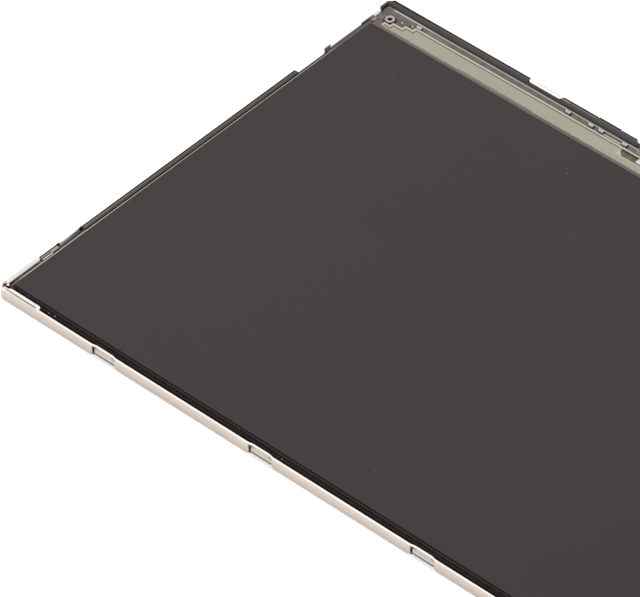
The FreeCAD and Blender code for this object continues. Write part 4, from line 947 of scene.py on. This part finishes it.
class LCD_OT_flex(bpy.types.Operator):
    """Finishes the signal flex, its stiffener and contacts and the closed-in strips"""
    bl_idname = "lcd.flex"
    bl_label = "Finish the flex"

    def execute(self, context):
        tint = colours()
        amber = Finish("amber flex", 0.35, scale=2500.0, bump=0.12, smudge=0.2, smudge_scale=150.0, coat=0.3)
        amber.colour(amber.paint(tint.flex, (shade(tint.flex, 0.75), amber.waves("X", 0.5, 0.45, 0.65))), 0.08)
        dress(amber, "signal_flex", "flex_stiffener", "led_flex", "bond_strip")
        gold = Finish("gold plate", 0.28, metal=1.0, bump=0.06)
        dress(gold.colour(tint.gold, 0.08), "flex_contacts")
        return {"FINISHED"}


class LCD_OT_solder(bpy.types.Operator):
    """Adds the hollow solder fillets at both ends of every chip part"""
    bl_idname = "lcd.solder"
    bl_label = "Add the solder fillets"

    def fillet(self, width, height):
        """One fillet, hollow in profile, whose chip stands on its left."""
        shape = Vector((sizes().fillet, width * MM, height * MM))
        deselect_all()
        bpy.ops.mesh.primitive_cube_add(size=1.0, location=(0.0, 0.0, 0.0))
        wedge = bpy.context.active_object
        wedge.scale = shape
        bpy.ops.object.transform_apply(location=False, rotation=False, scale=True)
        edit_all()
        bpy.ops.mesh.subdivide(number_cuts=3)
        for share, drop in ((0.5, 0.92), (0.25, 0.84), (0.0, 0.68), (-0.25, 0.4)):
            choose(wedge, lambda place: abs(place.x - share * shape.x) < shape.x * 0.05 and place.z > shape.z * 0.45)
            bpy.ops.transform.translate(value=(0.0, 0.0, -drop * shape.z))
        bpy.ops.object.mode_set(mode="OBJECT")
        return wedge

    def execute(self, context):
        reach = sizes().fillet / MM
        chips = [(x, CAPACITOR_LOW.y + CAPACITOR_HIGH.y, CHIP_SOLDER) for x in CAPACITORS_X]
        chips.append((RESISTOR_HIGH.x - CHIP_SOLDER[0], RESISTOR_LOW.y + RESISTOR_HIGH.y, CHIP_SOLDER))
        chips += [(x, SUPPLY_LOW.y + SUPPLY_HIGH.y, SUPPLY_SOLDER) for x in SUPPLY_X]
        patterns = {solder: self.fillet(*solder[1:]) for solder in (CHIP_SOLDER, SUPPLY_SOLDER)}
        made = []
        for x, twice_y, solder in chips:
            half, _, height = solder
            for side in (-1, 1):
                for end, turn in ((-1, math.pi), (1, 0.0)):
                    spot = Vector((side * x + end * (half + reach / 2), twice_y / 2, BOARD_HIGH.z + height / 2)) * MM
                    made.append(copied(patterns[solder], spot, turn))
        for pattern in patterns.values():
            bpy.data.objects.remove(pattern, do_unlink=True)
        finish = Finish("solder fillet", 0.28, metal=0.9, bump=0.12, smudge=0.3, smudge_scale=900.0)
        settle(made, "solder_fillets", finish.colour(colours().solder, 0.12))
        return {"FINISHED"}


class LCD_OT_tracks(bpy.types.Operator):
    """Adds the bare and printed lines that stand on the board"""
    bl_idname = "lcd.tracks"
    bl_label = "Add the board's lines"

    def execute(self, context):
        width, level = sizes().track / MM, BOARD_HIGH.z
        pale = strips_at_both_ends([(*PALE_LINE, width * 1.25, level, TRACK_HEIGHT)])
        finish = Finish("pale print", 0.5, smudge=0.3, smudge_scale=500.0)
        settle(pale, "pale_lines", finish.colour(colours().print_pale, 0.1))
        bare = [flat_strip(*track, width, level, TRACK_HEIGHT) for track in BARE_TRACKS]
        copper = Finish("bare copper", 0.35, metal=0.6)
        settle(bare, "bare_tracks", copper.colour(colours().copper, 0.15))
        return {"FINISHED"}


class LCD_OT_lacquer(bpy.types.Operator):
    """Adds the dab of red lacquer beside the corner opening, and its pale smear"""
    bl_idname = "lcd.lacquer"
    bl_label = "Add the lacquer dab"

    def execute(self, context):
        tint, size = colours(), sizes()
        dab = pebble(DAB_SPOT, (size.dab_width / MM, size.dab_length / MM, DAB_HEIGHT), 4)
        smear = pebble(SMEAR_SPOT, SMEAR_SIZE, 5)
        finish = Finish("red lacquer", 0.35, scale=3000.0, smudge=0.6, smudge_scale=1500.0)
        base = finish.paint(
            tint.lacquer,
            (tint.lacquer_pale, ("X", -79.6, -79.4)),
            (tint.lacquer_smear, ("Y", 46.5, 47.0)))
        settle([dab, smear], "lacquer_dab", finish.colour(base, 0.2))
        return {"FINISHED"}


class LCD_OT_dust(bpy.types.Operator):
    """Adds the specks of dust on the film, the chipped spots on the glass edge and the lint on the rim"""
    bl_idname = "lcd.dust"
    bl_label = "Add the dust"

    def execute(self, context):
        size = sizes().speck / MM
        made = []
        rows = ((DUST_ON_FILM, POLARISER_HIGH.z, 0.75), (CHIPS_ON_GLASS, GLASS_HIGH.z, 1.4),
                (LINT_ON_RIM, FRAME_HIGH.z - RIM_DROP, 1.2))
        for spots, level, grow in rows:
            for x, y in spots:
                count = len(made)
                shape = (size * grow * (1.0 + 0.3 * (count % 3)), size * grow * (0.7 + 0.2 * (count % 2)), size * 0.3)
                made.append(pebble((x, y, level), shape, count))
        finish = Finish("dust", 0.8, scale=6000.0, bump=0.3)
        settle(made, "dust_specks", finish.colour(colours().dust, 0.2))
        return {"FINISHED"}


class LCD_OT_stage(bpy.types.Operator):
    """Adds the pale floor, the soft light and the camera"""
    bl_idname = "lcd.stage"
    bl_label = "Add the stage"

    def looked_at(self, tree):
        """One for rays that look at a thing, and zero for those that light it."""
        path = node(tree, "ShaderNodeLightPath")
        whole = path.outputs[LOOKING_RAYS[0]]
        for ray in LOOKING_RAYS[1:]:
            either = node(tree, "ShaderNodeMath", operation="MAXIMUM")
            feed(tree, whole, either.inputs[0])
            wire(tree, (path, ray, either, 1))
            whole = either.outputs[0]
        return whole

    def floor(self, stage):
        deselect_all()
        bpy.ops.mesh.primitive_plane_add(size=stage.floor_side, location=(0.0, 0.0, -FLOOR_DROP))
        floor = bpy.context.active_object
        floor.name = "floor"
        material = bpy.data.materials.new("pale floor")
        material.use_nodes = True
        tree = material.node_tree
        tree.nodes.clear()
        plain = node(tree, "ShaderNodeBsdfDiffuse", {"Color": (*stage.floor, 1.0)})
        glow = node(tree, "ShaderNodeEmission", {"Color": (1.0, 1.0, 1.0, 1.0)})
        lift = node(tree, "ShaderNodeMath", {1: stage.floor_lift}, operation="MULTIPLY")
        feed(tree, self.looked_at(tree), lift.inputs[0])
        both = node(tree, "ShaderNodeAddShader")
        out = node(tree, "ShaderNodeOutputMaterial")
        wire(tree, (lift, 0, glow, "Strength"), (plain, "BSDF", both, 0), (glow, "Emission", both, 1),
             (both, "Shader", out, "Surface"))
        floor.data.materials.append(material)

    def sky(self, stage):
        world = bpy.data.worlds.new("studio")
        bpy.context.scene.world = world
        world.use_nodes = True
        tree = world.node_tree
        tree.nodes.clear()
        light = node(tree, "ShaderNodeBackground", {"Strength": stage.sky})
        white = node(tree, "ShaderNodeBackground", {"Strength": 1.0})
        mix = node(tree, "ShaderNodeMixShader")
        feed(tree, self.looked_at(tree), mix.inputs["Fac"])
        out = node(tree, "ShaderNodeOutputWorld")
        wire(tree, (light, "Background", mix, 1), (white, "Background", mix, 2), (mix, "Shader", out, "Surface"))

    def lamp(self, name, place, side, strength):
        deselect_all()
        bpy.ops.object.light_add(type="AREA", location=place)
        lamp = bpy.context.active_object
        lamp.name = name
        lamp.data.shape = "SQUARE"
        lamp.data.size = side
        lamp.data.energy = strength
        lamp.rotation_euler = (-Vector(place)).to_track_quat("-Z", "Y").to_euler()

    def execute(self, context):
        stage = context.scene.screen_stage
        self.floor(stage)
        self.sky(stage)
        for name, place, side, strength in LAMPS:
            self.lamp(name, place, side, getattr(stage, strength))
        deselect_all()
        bpy.ops.object.camera_add(location=stage.camera_place, rotation=stage.camera_turn)
        camera = bpy.context.active_object
        camera.name = "photo_camera"
        camera.data.sensor_width = SENSOR_WIDTH
        camera.data.lens = stage.camera_lens
        camera.data.clip_start = CLIP_START
        camera.data.clip_end = CLIP_END
        camera.data.dof.use_dof = False
        context.scene.camera = camera
        context.scene.view_settings.view_transform = "Standard"
        return {"FINISHED"}


STEPS = (LCD_OT_tray, LCD_OT_corner_leaves, LCD_OT_frame, LCD_OT_cell, LCD_OT_backlight, LCD_OT_board,
         LCD_OT_film_corners, LCD_OT_parts, LCD_OT_flex, LCD_OT_solder, LCD_OT_tracks, LCD_OT_lacquer,
         LCD_OT_dust, LCD_OT_stage)


class LCD_PT_panel(bpy.types.Panel):
    """Lists the steps that dress the module"""
    bl_idname = "LCD_PT_panel"
    bl_label = "LCD screen module"
    bl_space_type = "VIEW_3D"
    bl_region_type = "UI"
    bl_category = "Screen"

    def draw(self, context):
        for step in STEPS:
            self.layout.operator(step.bl_idname, text=step.bl_label)


GROUPS = {"screen_colours": ScreenColours, "screen_sizes": ScreenSizes, "screen_stage": ScreenStage}


def register():
    for group in GROUPS.values():
        bpy.utils.register_class(group)
    for name, group in GROUPS.items():
        setattr(bpy.types.Scene, name, bpy.props.PointerProperty(type=group))
    for step in (*STEPS, LCD_PT_panel):
        bpy.utils.register_class(step)


def unregister():
    for step in reversed((*STEPS, LCD_PT_panel)):
        bpy.utils.unregister_class(step)
    for name in GROUPS:
        delattr(bpy.types.Scene, name)
    for group in reversed(list(GROUPS.values())):
        bpy.utils.unregister_class(group)


def main():
    """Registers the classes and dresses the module."""
    register()
    for step in STEPS:
        family, name = step.bl_idname.split(".")
        getattr(getattr(bpy.ops, family), name)()


if __name__ == "__main__":
    main()
